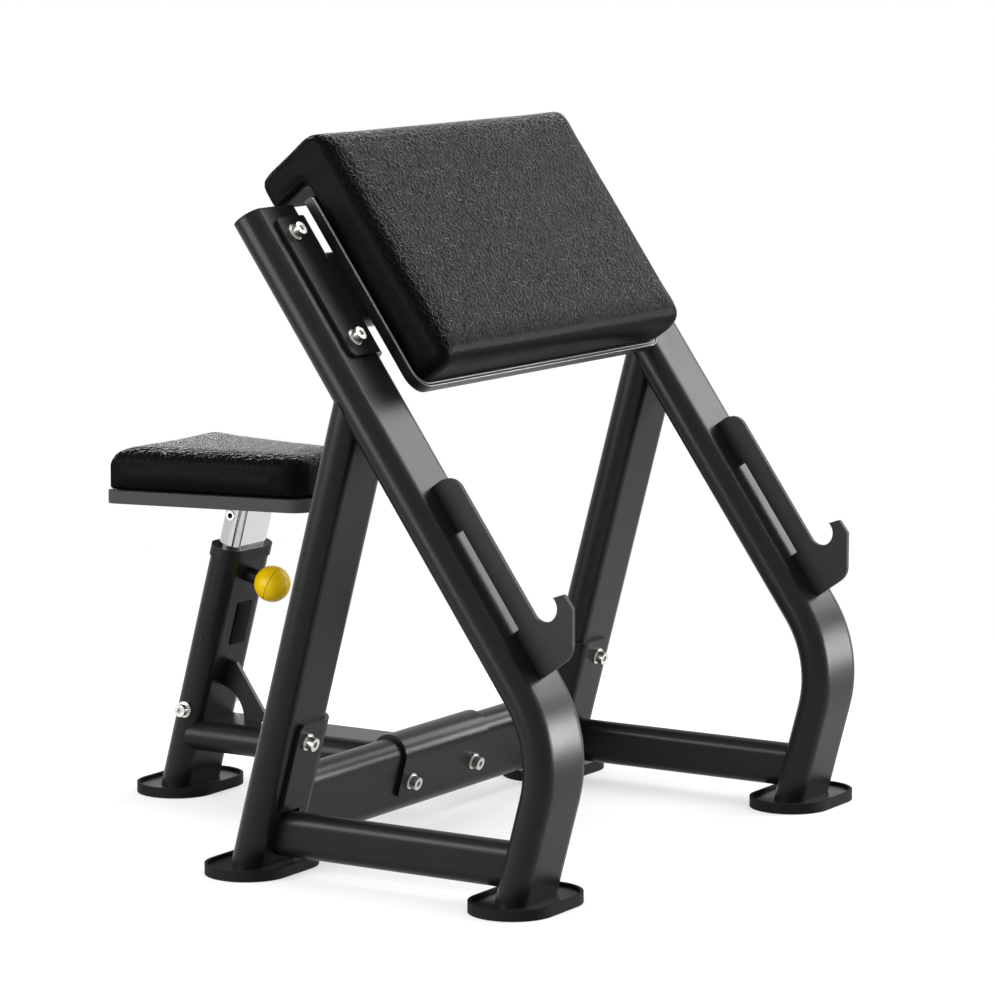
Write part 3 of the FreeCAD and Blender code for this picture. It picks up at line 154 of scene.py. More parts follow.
# Bright zinc: a pale metal, clouded by the bath over a few millimetres.
bright_zinc, tree = new_finish("bright_zinc_plate")
spot = put(tree, "ShaderNodeTexCoord", {}).outputs["Object"]
cloud = put(tree, "ShaderNodeTexNoise", {"Vector": spot, "Scale": 1 / 0.006, "Detail": 3}).outputs["Fac"]
scuff = put(tree, "ShaderNodeTexNoise", {"Vector": spot, "Scale": 1 / 0.0012, "Detail": 2}).outputs["Fac"]
colour = put(tree, "ShaderNodeMix", {0: cloud, 6: hex_colour("#b9b8b2"), 7: hex_colour("#dcdbd6")},
             data_type="RGBA").outputs[2]
bump = put(tree, "ShaderNodeBump", {"Height": scuff, "Strength": 0.08, "Distance": 0.0002}).outputs["Normal"]
dull = put(tree, "ShaderNodeMapRange", {"Value": cloud, "To Min": 0.2, "To Max": 0.34}).outputs["Result"]
skin = put(tree, "ShaderNodeBsdfPrincipled", {
    "Base Color": colour, "Metallic": 1, "Roughness": dull, "Normal": bump})
put(tree, "ShaderNodeOutputMaterial", {"Surface": skin.outputs["BSDF"]})
dress(FASTENERS, bright_zinc)

# Caps in the arms, collar in the post and plug in the seat tube: black injection-moulded nylon, pressed
# in. The plunger's barrel and the set screw are oiled black steel of nearly the same look.

MOULDINGS = ["left_arm_cap", "right_arm_cap", "post_collar", "tube_plug", "plunger_barrel", "set_screw"]

# Black nylon: close to smooth, with a spark-eroded grain that is drawn at 1 mm to show.
black_nylon, tree = new_finish("black_nylon")
spot = put(tree, "ShaderNodeTexCoord", {}).outputs["Object"]
erosion = put(tree, "ShaderNodeTexNoise", {"Vector": spot, "Scale": 1 / 0.001, "Detail": 2}).outputs["Fac"]
flow = put(tree, "ShaderNodeTexNoise", {"Vector": spot, "Scale": 1 / 0.015, "Detail": 2}).outputs["Fac"]
colour = put(tree, "ShaderNodeMix", {0: flow, 6: hex_colour("#080809"), 7: hex_colour("#101011")},
             data_type="RGBA").outputs[2]
bump = put(tree, "ShaderNodeBump", {"Height": erosion, "Strength": 0.1, "Distance": 0.0002}).outputs["Normal"]
dull = put(tree, "ShaderNodeMapRange", {"Value": flow, "To Min": 0.42, "To Max": 0.54}).outputs["Result"]
skin = put(tree, "ShaderNodeBsdfPrincipled", {
    "Base Color": colour, "Roughness": dull, "IOR": 1.53, "Specular IOR Level": 0.15, "Normal": bump})
put(tree, "ShaderNodeOutputMaterial", {"Surface": skin.outputs["BSDF"]})
dress(MOULDINGS, black_nylon)

# Seat tube: flat-oval steel tube, ground, polished and chromed, which slides in the post. A row of index
# holes in it takes the locking pin.

LEG_SLOPE = math.radians(75)
POLISH_GAP = 0.002
POLISH_LENGTH = 1 / 12

# Hard chrome: nearly a mirror, with fine polishing lines along the tube, drawn 2 mm apart to show.
chrome, tree = new_finish("polished_chrome")
spot = put(tree, "ShaderNodeTexCoord", {}).outputs["Object"]
along = put(tree, "ShaderNodeMapping", {
    "Vector": spot, "Rotation": (LEG_SLOPE - math.pi / 2, 0, 0),
    "Scale": (1 / POLISH_GAP, 1 / POLISH_GAP, 1 / POLISH_LENGTH)}).outputs["Vector"]
polish = put(tree, "ShaderNodeTexNoise", {"Vector": along, "Scale": 1, "Detail": 2}).outputs["Fac"]
colour = put(tree, "ShaderNodeMix", {0: polish, 6: hex_colour("#b4b5b6"), 7: hex_colour("#c9cacb")},
             data_type="RGBA").outputs[2]
bump = put(tree, "ShaderNodeBump", {"Height": polish, "Strength": 0.03, "Distance": 0.0002}).outputs["Normal"]
dull = put(tree, "ShaderNodeMapRange", {"Value": polish, "To Min": 0.06, "To Max": 0.13}).outputs["Result"]
skin = put(tree, "ShaderNodeBsdfPrincipled", {
    "Base Color": colour, "Metallic": 1, "Roughness": dull, "Normal": bump})
put(tree, "ShaderNodeOutputMaterial", {"Surface": skin.outputs["BSDF"]})
dress(["seat_tube"], chrome)

# Ball knob: a yellow ball moulded in two halves over the stem of the spring pin, so that a fine seam
# runs round it.

KNOB_RADIUS = 0.0235
SEAM_FACING = Vector((0.24, -0.88, -0.41)).normalized()
SEAM_FLOOR = 0.0001
SEAM_EDGE = 0.0008
knob_low = Vector(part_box("ball_knob")[0])
knob_middle = Vector((0, knob_low.y + KNOB_RADIUS, knob_low.z + KNOB_RADIUS))

# Phenolic resin: a deep yellow under a polished skin, cloudy over 10 mm, with a groove at the seam
# that ends 0.8 mm to each side of it.
yellow_resin, tree = new_finish("yellow_phenolic")
spot = put(tree, "ShaderNodeTexCoord", {}).outputs["Object"]
cloud = put(tree, "ShaderNodeTexNoise", {"Vector": spot, "Scale": 1 / 0.01, "Detail": 3}).outputs["Fac"]
across = put(tree, "ShaderNodeVectorMath", {0: spot, 1: SEAM_FACING},
             operation="DOT_PRODUCT").outputs["Value"]
off_seam = put(tree, "ShaderNodeMath", {0: across, 1: knob_middle.dot(SEAM_FACING)},
               operation="SUBTRACT").outputs["Value"]
distance = put(tree, "ShaderNodeMath", {0: off_seam}, operation="ABSOLUTE").outputs["Value"]
seam = put(tree, "ShaderNodeMapRange", {"Value": distance, "From Min": SEAM_FLOOR, "From Max": SEAM_EDGE},
           interpolation_type="SMOOTHSTEP").outputs["Result"]
body = put(tree, "ShaderNodeMix", {0: cloud, 6: hex_colour("#bd9900"), 7: hex_colour("#cdaa02")},
           data_type="RGBA").outputs[2]
colour = put(tree, "ShaderNodeMix", {0: seam, 6: hex_colour("#7d6706"), 7: body}, data_type="RGBA").outputs[2]
bump = put(tree, "ShaderNodeBump", {"Height": seam, "Strength": 0.6, "Distance": 0.0005}).outputs["Normal"]
dull = put(tree, "ShaderNodeMapRange", {"Value": cloud, "To Min": 0.26, "To Max": 0.38}).outputs["Result"]
skin = put(tree, "ShaderNodeBsdfPrincipled", {
    "Base Color": colour, "Roughness": dull, "IOR": 1.6, "Specular IOR Level": 0.12, "Normal": bump})
put(tree, "ShaderNodeOutputMaterial", {"Surface": skin.outputs["BSDF"]})
dress(["ball_knob"], yellow_resin)

# Plate on the front of the post: a bare piece of black sheet, glued on below the knob.

POST_FOOT = Vector((0, 0.36908, 0))
UP_POST = Vector((0, -math.cos(LEG_SLOPE), math.sin(LEG_SLOPE)))
OFF_POST = Vector((0, -math.sin(LEG_SLOPE), -math.cos(LEG_SLOPE)))
POST_HALF_DEPTH = 0.020
PLATE_SIDE = 0.006
PLATE_WIDTH = 0.032
PLATE_LOW = 0.208
PLATE_HIGH = 0.2655
PLATE_THICKNESS = 0.0012
PLATE_CORNER = 0.002
PLATE_EDGE = 0.0004
BRUSH_GAP = 0.0008
BRUSH_LENGTH = 0.025


def new_piece(name, form, finish):
    """An object at the origin from a bmesh that is already in place, its faces smooth between sharp edges."""
    mesh = bpy.data.meshes.new(name)
    form.to_mesh(mesh)
    form.free()
    mesh.materials.append(finish)
    mesh.shade_smooth()
    mesh.set_sharp_from_angle(angle=math.radians(40))
    piece = bpy.data.objects.new(name, mesh)
    bpy.context.scene.collection.objects.link(piece)
    return piece


form = bmesh.new()
plate_face = POST_FOOT + OFF_POST * POST_HALF_DEPTH + Vector((PLATE_SIDE, 0, 0))
corners = [(-1, PLATE_LOW), (1, PLATE_LOW), (1, PLATE_HIGH), (-1, PLATE_HIGH)]
base = form.faces.new([form.verts.new(plate_face + Vector((side * PLATE_WIDTH / 2, 0, 0)) + UP_POST * rise)
                       for side, rise in corners])
raised = bmesh.ops.extrude_face_region(form, geom=[base])["geom"]
bmesh.ops.translate(form, vec=OFF_POST * PLATE_THICKNESS,
                    verts=[item for item in raised if isinstance(item, bmesh.types.BMVert)])
rim = [edge for edge in form.edges
       if abs((edge.verts[0].co - edge.verts[1].co).dot(OFF_POST)) > PLATE_THICKNESS / 2]
bmesh.ops.bevel(form, geom=rim, offset=PLATE_CORNER, segments=4, profile=0.5, affect="EDGES")
front = [edge for edge in form.edges
         if all((vert.co - plate_face).dot(OFF_POST) > PLATE_THICKNESS * 0.9 for vert in edge.verts)]
bmesh.ops.bevel(form, geom=front, offset=PLATE_EDGE, segments=2, profile=0.5, affect="EDGES")
bmesh.ops.recalc_face_normals(form, faces=form.faces)

# Black-dyed aluminium sheet: brushed across at 0.8 mm, almost without gloss.
black_sheet, tree = new_finish("black_anodised_sheet")
spot = put(tree, "ShaderNodeTexCoord", {}).outputs["Object"]
across = put(tree, "ShaderNodeMapping", {
    "Vector": spot, "Scale": (1 / BRUSH_LENGTH, 1 / BRUSH_GAP, 1 / BRUSH_GAP)}).outputs["Vector"]
brush = put(tree, "ShaderNodeTexNoise", {"Vector": across, "Scale": 1, "Detail": 2}).outputs["Fac"]
colour = put(tree, "ShaderNodeMix", {0: brush, 6: hex_colour("#040404"), 7: hex_colour("#0c0c0c")},
             data_type="RGBA").outputs[2]
bump = put(tree, "ShaderNodeBump", {"Height": brush, "Strength": 0.08, "Distance": 0.0002}).outputs["Normal"]
dull = put(tree, "ShaderNodeMapRange", {"Value": brush, "To Min": 0.5, "To Max": 0.62}).outputs["Result"]
skin = put(tree, "ShaderNodeBsdfPrincipled", {
    "Base Color": colour, "Roughness": dull, "IOR": 1.5, "Specular IOR Level": 0.03, "Normal": bump})
put(tree, "ShaderNodeOutputMaterial", {"Surface": skin.outputs["BSDF"]})
post_plate = new_piece("post_plate", form, black_sheet)
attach(post_plate, "frame")

# Seat tray: a shallow pan of grey plastic with a raised rim, screwed to the steel plate on the seat tube.
# The cushion is pressed into it.

# ABS: mid grey, with a leather-like mould grain of about 1.5 mm.
grey_abs, tree = new_finish("grey_abs")
spot = put(tree, "ShaderNodeTexCoord", {}).outputs["Object"]
grain = put(tree, "ShaderNodeTexVoronoi", {"Vector": spot, "Scale": 1 / 0.0015}).outputs["Distance"]
flow = put(tree, "ShaderNodeTexNoise", {"Vector": spot, "Scale": 1 / 0.03, "Detail": 2}).outputs["Fac"]
colour = put(tree, "ShaderNodeMix", {0: flow, 6: hex_colour("#303031"), 7: hex_colour("#3a3a3b")},
             data_type="RGBA").outputs[2]
bump = put(tree, "ShaderNodeBump", {"Height": grain, "Strength": 0.15, "Distance": 0.0003}).outputs["Normal"]
dull = put(tree, "ShaderNodeMapRange", {"Value": flow, "To Min": 0.5, "To Max": 0.6}).outputs["Result"]
skin = put(tree, "ShaderNodeBsdfPrincipled", {
    "Base Color": colour, "Roughness": dull, "IOR": 1.54, "Specular IOR Level": 0.14, "Normal": bump})
put(tree, "ShaderNodeOutputMaterial", {"Surface": skin.outputs["BSDF"]})
dress(["seat_tray"], grey_abs)

# Seat cushion: a block of moulded foam, narrow at the front, with black vinyl pulled down over it
# and tucked into the tray all round.

SEAT_PLACE = Matrix(((0, 0, 1, 0), (1, 0, 0, 0.14292), (0, 1, 0, 0.385), (0, 0, 0, 1)))
SEAT_LENGTH = 0.271
SEAT_FRONT_HALF = 0.0625
SEAT_REAR_HALF = 0.1175
SEAT_LOW = 0.0165
SEAT_HIGH = 0.0705
SEAT_INSET = 0.004
SEAT_SWELL = 0.002
SEAT_CLEAR = 0.0005
SEAT_HELD = 0.006
SEAT_FLOOR_ROUND = 0.003
SEAT_ROUNDS = ((0.026, 0.015), (0.006, 0.022), (0.006, 0.015), (0.026, 0.018))  # corner, then shoulder
VOXEL = 0.005
WIDEST_ROUND = 0.031
FOAM_GIVE = 0.2
FILL_PRESSURE = 4
FILL_STEPS = 20


def settle(cover):
    """Keep what the modifiers of a cover make of it as its own mesh."""
    made = bpy.data.meshes.new_from_object(cover.evaluated_get(bpy.context.evaluated_depsgraph_get()))
    cover.modifiers.clear()
    worn = cover.data
    cover.data = made
    bpy.data.meshes.remove(worn)


def new_block():
    """An empty form whose edges hold how far they are rounded, as a share of the widest rounding."""
    block = bmesh.new()
    return block, block.edges.layers.float.new("bevel_weight_edge")


def stuff(name, form, held, swell, place):
    """A padded cover: a closed form with rounded edges, filled out by cloth under pressure.

    The foam lets the cover swell only so far, and give way inwards only a little."""
    mesh = bpy.data.meshes.new(name)
    form.to_mesh(mesh)
    form.free()
    cover = bpy.data.objects.new(name, mesh)
    bpy.context.scene.collection.objects.link(cover)
    edges = cover.modifiers.new("rounded edges", "BEVEL")
    edges.limit_method = "WEIGHT"
    edges.width = WIDEST_ROUND
    edges.segments = 6
    edges.use_clamp_overlap = False
    even = cover.modifiers.new("even faces", "REMESH")
    even.mode = "VOXEL"
    even.voxel_size = VOXEL
    settle(cover)
    start = [vertex.co.copy() for vertex in cover.data.vertices]
    pins = cover.vertex_groups.new(name="held")
    pins.add([index for index, spot in enumerate(start) if held(spot)], 1, "REPLACE")
    cloth = cover.modifiers.new("filling", "CLOTH")
    cloth.settings.use_pressure = True
    cloth.settings.uniform_pressure_force = FILL_PRESSURE
    cloth.settings.effector_weights.gravity = 0
    cloth.settings.vertex_group_mass = "held"
    cloth.point_cache.frame_end = FILL_STEPS
    for step in range(1, FILL_STEPS + 1):
        bpy.context.scene.frame_set(step)
    normals = [vertex.normal.copy() for vertex in cover.data.vertices]
    settle(cover)
    for vertex, spot, normal in zip(cover.data.vertices, start, normals):
        move = vertex.co - spot
        if move.dot(normal) < 0:
            move *= FOAM_GIVE
        if move.length > 0:
            vertex.co = spot + move.normalized() * swell * math.tanh(move.length / swell / 2)
    cover.vertex_groups.clear()
    bpy.context.scene.frame_set(1)
    fine = cover.modifiers.new("fine faces", "SUBSURF")
    fine.levels = 1
    fine.render_levels = 1
    settle(cover)
    cover.data.transform(place)
    cover.data.shade_smooth()
    return cover


# Upholstery vinyl: black, with a net of fine raised veins about 7 mm apart, soft gloss and a painted sheen
# on what faces up, stronger along the veins. Pulled tight over the sides, its grain is stretched almost flat
# there.
black_vinyl, tree = new_finish("black_grained_vinyl")
spot = put(tree, "ShaderNodeTexCoord", {}).outputs["Object"]
wander = put(tree, "ShaderNodeTexNoise", {"Vector": spot, "Scale": 1 / 0.012, "Detail": 2}).outputs["Color"]
bent = put(tree, "ShaderNodeVectorMath", {0: wander, 1: (0.006, 0.006, 0.006), 2: spot},
           operation="MULTIPLY_ADD").outputs["Vector"]
cell = put(tree, "ShaderNodeTexVoronoi", {"Vector": bent, "Scale": 1 / 0.007},
           feature="DISTANCE_TO_EDGE").outputs["Distance"]
vein = put(tree, "ShaderNodeMapRange", {"Value": cell, "From Max": 0.18, "To Min": 1, "To Max": 0},
           interpolation_type="SMOOTHSTEP").outputs["Result"]
pore = put(tree, "ShaderNodeTexNoise", {"Vector": spot, "Scale": 1 / 0.0015, "Detail": 2}).outputs["Fac"]
height = put(tree, "ShaderNodeMath", {0: pore, 1: 0.2, 2: vein}, operation="MULTIPLY_ADD").outputs["Value"]
colour = put(tree, "ShaderNodeMix", {0: pore, 6: hex_colour("#040405"), 7: hex_colour("#0a0a0b")},
             data_type="RGBA").outputs[2]
dull = put(tree, "ShaderNodeMapRange", {"Value": pore, "To Min": 0.35, "To Max": 0.43}).outputs["Result"]
facing = put(tree, "ShaderNodeNewGeometry", {}).outputs["Normal"]
upward = put(tree, "ShaderNodeSeparateXYZ", {"Vector": facing}).outputs["Z"]
relief = put(tree, "ShaderNodeMapRange", {
    "Value": upward, "From Min": 0.15, "From Max": 0.55, "To Min": 0.12}).outputs["Result"]
bump = put(tree, "ShaderNodeBump", {
    "Height": height, "Strength": relief, "Distance": 0.0011}).outputs["Normal"]
# Painted sheen: the sheen weight grows the more the surface faces up, and is up to half as much again in the
# veins, so tops and vein lines look lit.
painted_sheen_by_facing = put(tree, "ShaderNodeMapRange", {
    "Value": upward, "From Max": 0.8, "To Min": 0.003, "To Max": 0.53}).outputs["Result"]
vein_sheen_boost = put(tree, "ShaderNodeMath", {0: vein, 1: 0.5, 2: 1}, operation="MULTIPLY_ADD").outputs["Value"]
painted_sheen = put(tree, "ShaderNodeMath", {0: painted_sheen_by_facing, 1: vein_sheen_boost}, operation="MULTIPLY").outputs["Value"]
skin = put(tree, "ShaderNodeBsdfPrincipled", {
    "Base Color": colour, "Roughness": dull, "IOR": 1.5, "Specular IOR Level": 0.024, "Normal": bump,
    "Sheen Weight": painted_sheen, "Sheen Roughness": 0.22})
put(tree, "ShaderNodeOutputMaterial", {"Surface": skin.outputs["BSDF"]})

form, rounding = new_block()
flare = (SEAT_REAR_HALF - SEAT_FRONT_HALF) / SEAT_LENGTH
pull_in = SEAT_INSET * math.sqrt(1 + flare ** 2)
front = SEAT_INSET
rear = SEAT_LENGTH - SEAT_INSET
front_half = SEAT_FRONT_HALF + flare * front - pull_in
rear_half = SEAT_FRONT_HALF + flare * rear - pull_in
plan = [(front, -front_half), (rear, -rear_half), (rear, rear_half), (front, front_half)]
floor_ring = [form.verts.new((x, SEAT_LOW + SEAT_CLEAR, z)) for x, z in plan]
top_ring = [form.verts.new((x, SEAT_HIGH - SEAT_CLEAR, z)) for x, z in plan]
form.faces.new(floor_ring)
form.faces.new(top_ring)
for here in range(4):
    there = (here + 1) % 4
    form.faces.new((floor_ring[here], floor_ring[there], top_ring[there], top_ring[here]))
for here, (corner, shoulder) in enumerate(SEAT_ROUNDS):
    there = (here + 1) % 4
    for ends, radius in (
            ((floor_ring[here], top_ring[here]), corner),
            ((top_ring[here], top_ring[there]), shoulder),
            ((floor_ring[here], floor_ring[there]), SEAT_FLOOR_ROUND)):
        form.edges.get(ends)[rounding] = radius / WIDEST_ROUND
bmesh.ops.recalc_face_normals(form, faces=form.faces)
seat_cover = stuff("seat_cover", form, lambda spot: spot.y < SEAT_LOW + SEAT_HELD, SEAT_SWELL, SEAT_PLACE)
seat_cover.data.materials.clear()
seat_cover.data.materials.append(black_vinyl)
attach(seat_cover, "seat")
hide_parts("seat_cushion")

# Arm pad board: plywood under black film, screwed down on the pad beam from below. A double welt of
# grey vinyl runs round its edge.

ARM_SLOPE = math.radians(55)
ARM_TOP = Vector((0, 0.005101, 0.783))
UP_ARM = Vector((0, math.cos(ARM_SLOPE), math.sin(ARM_SLOPE)))
OFF_ARM = Vector((0, -math.sin(ARM_SLOPE), math.cos(ARM_SLOPE)))
PAD_PLACE = Matrix((
    (0, 0, 1, ARM_TOP.x), (UP_ARM.y, OFF_ARM.y, 0, ARM_TOP.y),
    (UP_ARM.z, OFF_ARM.z, 0, ARM_TOP.z), (0, 0, 0, 1)))
BOARD_LOW = -0.2655
BOARD_HIGH = 0.002
BOARD_HALF = 0.2835
BOARD_CORNER = 0.024
BOARD_TOP = 0.0365
GRAIN_GAP = 1 / 300
GRAIN_LENGTH = 1 / 12
WELT_WIDTH = 0.0015
WELT_RUNS = ((0.0008, 0.0008), (0.0046, 0.0026))  # inset at the end, then at the sides
WELT_STOP = 0.002
CORNER_STEPS = 8
BEAD_SIDES = 8

# Phenolic film on plywood: black and close, with the wood's grain just showing along the board.
film_faced_board, tree = new_finish("film_faced_plywood")
spot = put(tree, "ShaderNodeTexCoord", {}).outputs["Object"]
along = put(tree, "ShaderNodeMapping", {
    "Vector": spot, "Scale": (1 / GRAIN_LENGTH, 1 / GRAIN_GAP, 1 / GRAIN_GAP)}).outputs["Vector"]
grain = put(tree, "ShaderNodeTexNoise", {"Vector": along, "Scale": 1, "Detail": 3}).outputs["Fac"]
colour = put(tree, "ShaderNodeMix", {0: grain, 6: hex_colour("#111112"), 7: hex_colour("#1f1f1f")},
             data_type="RGBA").outputs[2]
bump = put(tree, "ShaderNodeBump", {"Height": grain, "Strength": 0.1, "Distance": 0.0003}).outputs["Normal"]
dull = put(tree, "ShaderNodeMapRange", {"Value": grain, "To Min": 0.3, "To Max": 0.42}).outputs["Result"]
skin = put(tree, "ShaderNodeBsdfPrincipled", {
    "Base Color": colour, "Roughness": dull, "IOR": 1.5, "Specular IOR Level": 0.2, "Normal": bump})
put(tree, "ShaderNodeOutputMaterial", {"Surface": skin.outputs["BSDF"]})
dress(["pad_board"], film_faced_board)

# Extruded vinyl welt: grey, glossy, with a slow ripple from being pinned on by hand.
grey_welt, tree = new_finish("extruded_vinyl_welt")
spot = put(tree, "ShaderNodeTexCoord", {}).outputs["Object"]
ripple = put(tree, "ShaderNodeTexNoise", {"Vector": spot, "Scale": 1 / 0.008, "Detail": 2}).outputs["Fac"]
colour = put(tree, "ShaderNodeMix", {0: ripple, 6: hex_colour("#7c7c7f"), 7: hex_colour("#8c8c8e")},
             data_type="RGBA").outputs[2]
bump = put(tree, "ShaderNodeBump", {"Height": ripple, "Strength": 0.04, "Distance": 0.0003}).outputs["Normal"]
dull = put(tree, "ShaderNodeMapRange", {"Value": ripple, "To Min": 0.1, "To Max": 0.18}).outputs["Result"]
skin = put(tree, "ShaderNodeBsdfPrincipled", {
    "Base Color": colour, "Roughness": dull, "IOR": 1.53, "Specular IOR Level": 0.5, "Normal": bump})
put(tree, "ShaderNodeOutputMaterial", {"Surface": skin.outputs["BSDF"]})

# The tree sweeps a round bead of a named width along a path.
bead_tree = bpy.data.node_groups.new("bead_along_path", "GeometryNodeTree")
bead_tree.interface.new_socket("Path", in_out="INPUT", socket_type="NodeSocketGeometry")
width_socket = bead_tree.interface.new_socket("Bead Width", in_out="INPUT", socket_type="NodeSocketFloat")
sides_socket = bead_tree.interface.new_socket("Bead Sides", in_out="INPUT", socket_type="NodeSocketInt")
finish_socket = bead_tree.interface.new_socket("Finish", in_out="INPUT", socket_type="NodeSocketMaterial")
bead_tree.interface.new_socket("Bead", in_out="OUTPUT", socket_type="NodeSocketGeometry")
given = put(bead_tree, "NodeGroupInput", {})
radius = put(bead_tree, "ShaderNodeMath", {0: given.outputs["Bead Width"], 1: 0.5}, operation="MULTIPLY")
bead = put(bead_tree, "GeometryNodeCurvePrimitiveCircle", {
    "Resolution": given.outputs["Bead Sides"], "Radius": radius.outputs["Value"]}, mode="RADIUS")
path = put(bead_tree, "GeometryNodeMeshToCurve", {"Mesh": given.outputs["Path"]})
swept = put(bead_tree, "GeometryNodeCurveToMesh", {
    "Curve": path.outputs["Curve"], "Profile Curve": bead.outputs["Curve"], "Fill Caps": True})
real = put(bead_tree, "GeometryNodeRealizeInstances", {"Geometry": swept.outputs["Mesh"]})
painted = put(bead_tree, "GeometryNodeSetMaterial", {
    "Geometry": real.outputs["Geometry"], "Material": given.outputs["Finish"]})
put(bead_tree, "NodeGroupOutput", {"Bead": painted.outputs["Geometry"]})

form = bmesh.new()
for end_inset, side_inset in WELT_RUNS:
    low = BOARD_LOW + end_inset
    half = BOARD_HALF - side_inset
    corner = BOARD_CORNER - side_inset
    run = [(BOARD_HIGH - WELT_STOP, -half)]
    for side in (-1, 1):
        for step in range(CORNER_STEPS + 1):
            turn = math.radians(90 * step / CORNER_STEPS)
            arc = (math.sin(turn), math.cos(turn)) if side < 0 else (math.cos(turn), math.sin(turn))
            run.append((low + corner * (1 - arc[0]), side * (half - corner * (1 - arc[1]))))
    run.append((BOARD_HIGH - WELT_STOP, half))
    points = [form.verts.new(PAD_PLACE @ Vector((x, BOARD_TOP + WELT_WIDTH / 3, z))) for x, z in run]
    for here, there in zip(points, points[1:]):
        form.edges.new((here, there))


def sweep(name, form, width, finish):
    """A round bead along the edges of a bmesh, as a plain mesh."""
    piece = new_piece(name, form, finish)
    bead = piece.modifiers.new("bead", "NODES")
    bead.node_group = bead_tree
    bead[width_socket.identifier] = width
    bead[sides_socket.identifier] = BEAD_SIDES
    bead[finish_socket.identifier] = finish
    settle(piece)
    piece.data.shade_smooth()
    return piece


pad_welt = sweep("pad_welt", form, WELT_WIDTH, grey_welt)
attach(pad_welt, "frame")

# Spring of the locking pin: zinc-plated wire coiled between the pin's collar and the end wall of the barrel.
# It is pressed together as the knob is pulled; the coil made here stays at its rest length.

PIN_HEIGHT = 0.305
COIL_LOW = 0.0231
COIL_HIGH = 0.0338
COIL_RADIUS = 0.006
COIL_TURNS = 3
WIRE_WIDTH = 0.0012
STEPS_PER_TURN = 24

form = bmesh.new()
pin_foot = POST_FOOT + UP_POST * PIN_HEIGHT
steps = COIL_TURNS * STEPS_PER_TURN
points = []
for step in range(steps + 1):
    turn = math.tau * step / STEPS_PER_TURN
    rise = COIL_LOW + (COIL_HIGH - COIL_LOW) * step / steps
    across = Vector((math.cos(turn), 0, 0)) + UP_POST * math.sin(turn)
    points.append(form.verts.new(pin_foot + across * COIL_RADIUS + OFF_POST * rise))
for here, there in zip(points, points[1:]):
    form.edges.new((here, there))
pin_spring = sweep("pin_spring", form, WIRE_WIDTH, bright_zinc)
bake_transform(pin_spring)
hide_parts("plunger_spring")

# Arm pad cushion: foam glued on the board and rolled over the ends of the arms, with black vinyl
# pulled over it and stapled under the board.

PAD_HALF = 0.280
PAD_LOW = -0.2595
PAD_TOP = 0.093
PAD_END = 0.070
PAD_SWELL = 0.002
ROLL_LEAN = 0.011
ROLL_LIP = 0.044
ROLL_ROOT = 0.050
ROLL_BOTTOM = -0.021
PAD_CLEAR = 0.0005
PAD_HELD = 0.004
PAD_HELD_PAST_ROOT = 0.008
PAD_SIDE_ROUNDS = (0.015, 0.017, 0.010, 0.005, 0.004, 0.003)

form, rounding = new_block()
lip = PAD_END - ROLL_LEAN
outline = [
    (PAD_LOW, BOARD_TOP + PAD_CLEAR, 0.003), (PAD_LOW, PAD_TOP - PAD_SWELL, 0.026),
    (PAD_END, PAD_TOP - PAD_SWELL, 0.031), (lip, ROLL_BOTTOM, 0.013),
    (lip - ROLL_LIP, ROLL_BOTTOM, 0.008), (PAD_END - ROLL_ROOT, BOARD_TOP + PAD_CLEAR, 0.002)]
near = [form.verts.new((x, y, -PAD_HALF)) for x, y, radius in outline]
far = [form.verts.new((x, y, PAD_HALF)) for x, y, radius in outline]
form.faces.new(near)
form.faces.new(far)
for here in range(len(outline)):
    there = (here + 1) % len(outline)
    form.faces.new((near[here], near[there], far[there], far[here]))
for here, (x, y, radius) in enumerate(outline):
    there = (here + 1) % len(outline)
    form.edges.get((near[here], far[here]))[rounding] = radius / WIDEST_ROUND
    for ring in (near, far):
        form.edges.get((ring[here], ring[there]))[rounding] = PAD_SIDE_ROUNDS[here] / WIDEST_ROUND
bmesh.ops.recalc_face_normals(form, faces=form.faces)


def on_board(spot):
    """Where the cover is stapled under the board, clear of the roll."""
    return spot.y < BOARD_TOP + PAD_HELD and spot.x < PAD_END - ROLL_ROOT + PAD_HELD_PAST_ROOT


pad_cover = stuff("pad_cover", form, on_board, PAD_SWELL, PAD_PLACE)
pad_cover.data.materials.clear()
pad_cover.data.materials.append(black_vinyl)
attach(pad_cover, "frame")
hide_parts("pad_cushion")

# Studio: a white floor that keeps a soft shadow, a white surround, a large soft lamp high on the right with
# a small one low under it, a broad one overhead and a wide one on the left.

FLOOR_REACH = 30
FLOOR_DROP = 0.0005

form = bmesh.new()
form.faces.new([form.verts.new((x * FLOOR_REACH, y * FLOOR_REACH, -FLOOR_DROP))
                for x, y in ((-1, -1), (1, -1), (1, 1), (-1, 1))])
white_floor, tree = new_finish("white_studio_floor")
seen = put(tree, "ShaderNodeLightPath", {})
direct = put(tree, "ShaderNodeMath", {0: seen.outputs["Is Camera Ray"], 1: seen.outputs["Is Glossy Ray"]},
             operation="MAXIMUM").outputs["Value"]
shown = put(tree, "ShaderNodeMath", {0: direct, 1: seen.outputs["Is Transmission Ray"]},
            operation="MAXIMUM").outputs["Value"]
glow = put(tree, "ShaderNodeMath", {0: shown, 1: 0.45}, operation="MULTIPLY").outputs["Value"]
sheet = put(tree, "ShaderNodeBsdfDiffuse", {"Color": hex_colour("#b8b8b8")}).outputs["BSDF"]
light = put(tree, "ShaderNodeEmission", {"Color": (1, 1, 1, 1), "Strength": glow}).outputs["Emission"]
lit = put(tree, "ShaderNodeAddShader", {0: sheet, 1: light}).outputs["Shader"]
white = put(tree, "ShaderNodeEmission", {"Color": (1, 1, 1, 1), "Strength": shown}).outputs["Emission"]
spot = put(tree, "ShaderNodeTexCoord", {}).outputs["Object"]
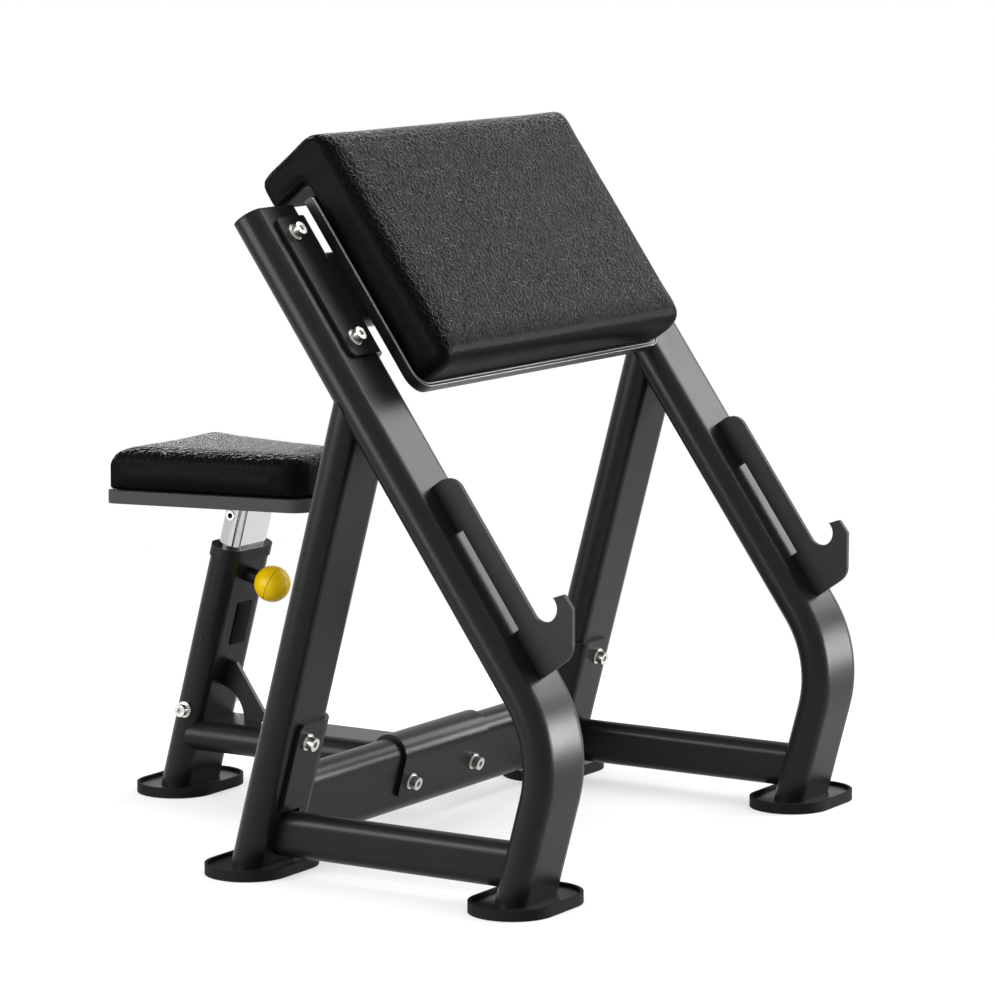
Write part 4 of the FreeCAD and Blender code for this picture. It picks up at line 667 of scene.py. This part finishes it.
away = put(tree, "ShaderNodeVectorMath", {0: spot}, operation="LENGTH").outputs["Value"]
fade = put(tree, "ShaderNodeMapRange", {"Value": away, "From Min": 0.7, "From Max": 1.6},
           interpolation_type="SMOOTHSTEP").outputs["Result"]
both = put(tree, "ShaderNodeMixShader", {0: fade, 1: lit, 2: white}).outputs["Shader"]
put(tree, "ShaderNodeOutputMaterial", {"Surface": both})
floor = new_piece("studio_floor", form, white_floor)

surround = bpy.data.worlds.new("white_surround")
surround.use_nodes = True
tree = surround.node_tree
tree.nodes.clear()
seen = put(tree, "ShaderNodeLightPath", {})
direct = put(tree, "ShaderNodeMath", {0: seen.outputs["Is Camera Ray"], 1: seen.outputs["Is Glossy Ray"]},
             operation="MAXIMUM").outputs["Value"]
shown = put(tree, "ShaderNodeMath", {0: direct, 1: seen.outputs["Is Transmission Ray"]},
            operation="MAXIMUM").outputs["Value"]
level = put(tree, "ShaderNodeMapRange", {"Value": shown, "To Min": 0.85, "To Max": 1}).outputs["Result"]
light = put(tree, "ShaderNodeBackground", {"Color": (1, 1, 1, 1), "Strength": level}).outputs["Background"]
put(tree, "ShaderNodeOutputWorld", {"Surface": light})
bpy.context.scene.world = surround

LAMP_AIM = Vector((0, 0, 0.4))
LAMPS = [
    ("soft_lamp_right", (3.0, -1.45, 2.45), 1.8, 2.2, 102),
    ("low_lamp_right", (2.85, -2.6, 0.45), 1.5, 0.9, 105),
    ("soft_lamp_above", (0.2, -0.3, 3.4), 2.6, 2.6, 40),
    ("wide_lamp_left", (-3.0, 1.35, 1.1), 2.4, 1.6, 120)]
for name, spot, width, height, power in LAMPS:
    lamp = bpy.data.lights.new(name, "AREA")
    lamp.shape = "RECTANGLE"
    lamp.size = width
    lamp.size_y = height
    lamp.energy = power
    stand = bpy.data.objects.new(name, lamp)
    stand.location = spot
    stand.rotation_euler = (LAMP_AIM - Vector(spot)).to_track_quat("-Z", "Y").to_euler()
    bpy.context.scene.collection.objects.link(stand)

# Camera: stands far off on the left of the front, a little above the arm pad, and looks slightly down.

EYE_PLACE = (-4.60767, -2.98096, 1.20524)
EYE_TOWARDS = Vector((0.83963, 0.52386, -0.14353))
EYE_LENS = 160.431

eye = bpy.data.cameras.new("camera")
eye.lens = EYE_LENS
eye.sensor_width = 36
eye.clip_end = 100
camera = bpy.data.objects.new("camera", eye)
camera.location = EYE_PLACE
camera.rotation_euler = EYE_TOWARDS.to_track_quat("-Z", "Y").to_euler()
bpy.context.scene.collection.objects.link(camera)
bpy.context.scene.camera = camera
bpy.context.scene.view_settings.view_transform = "Standard"
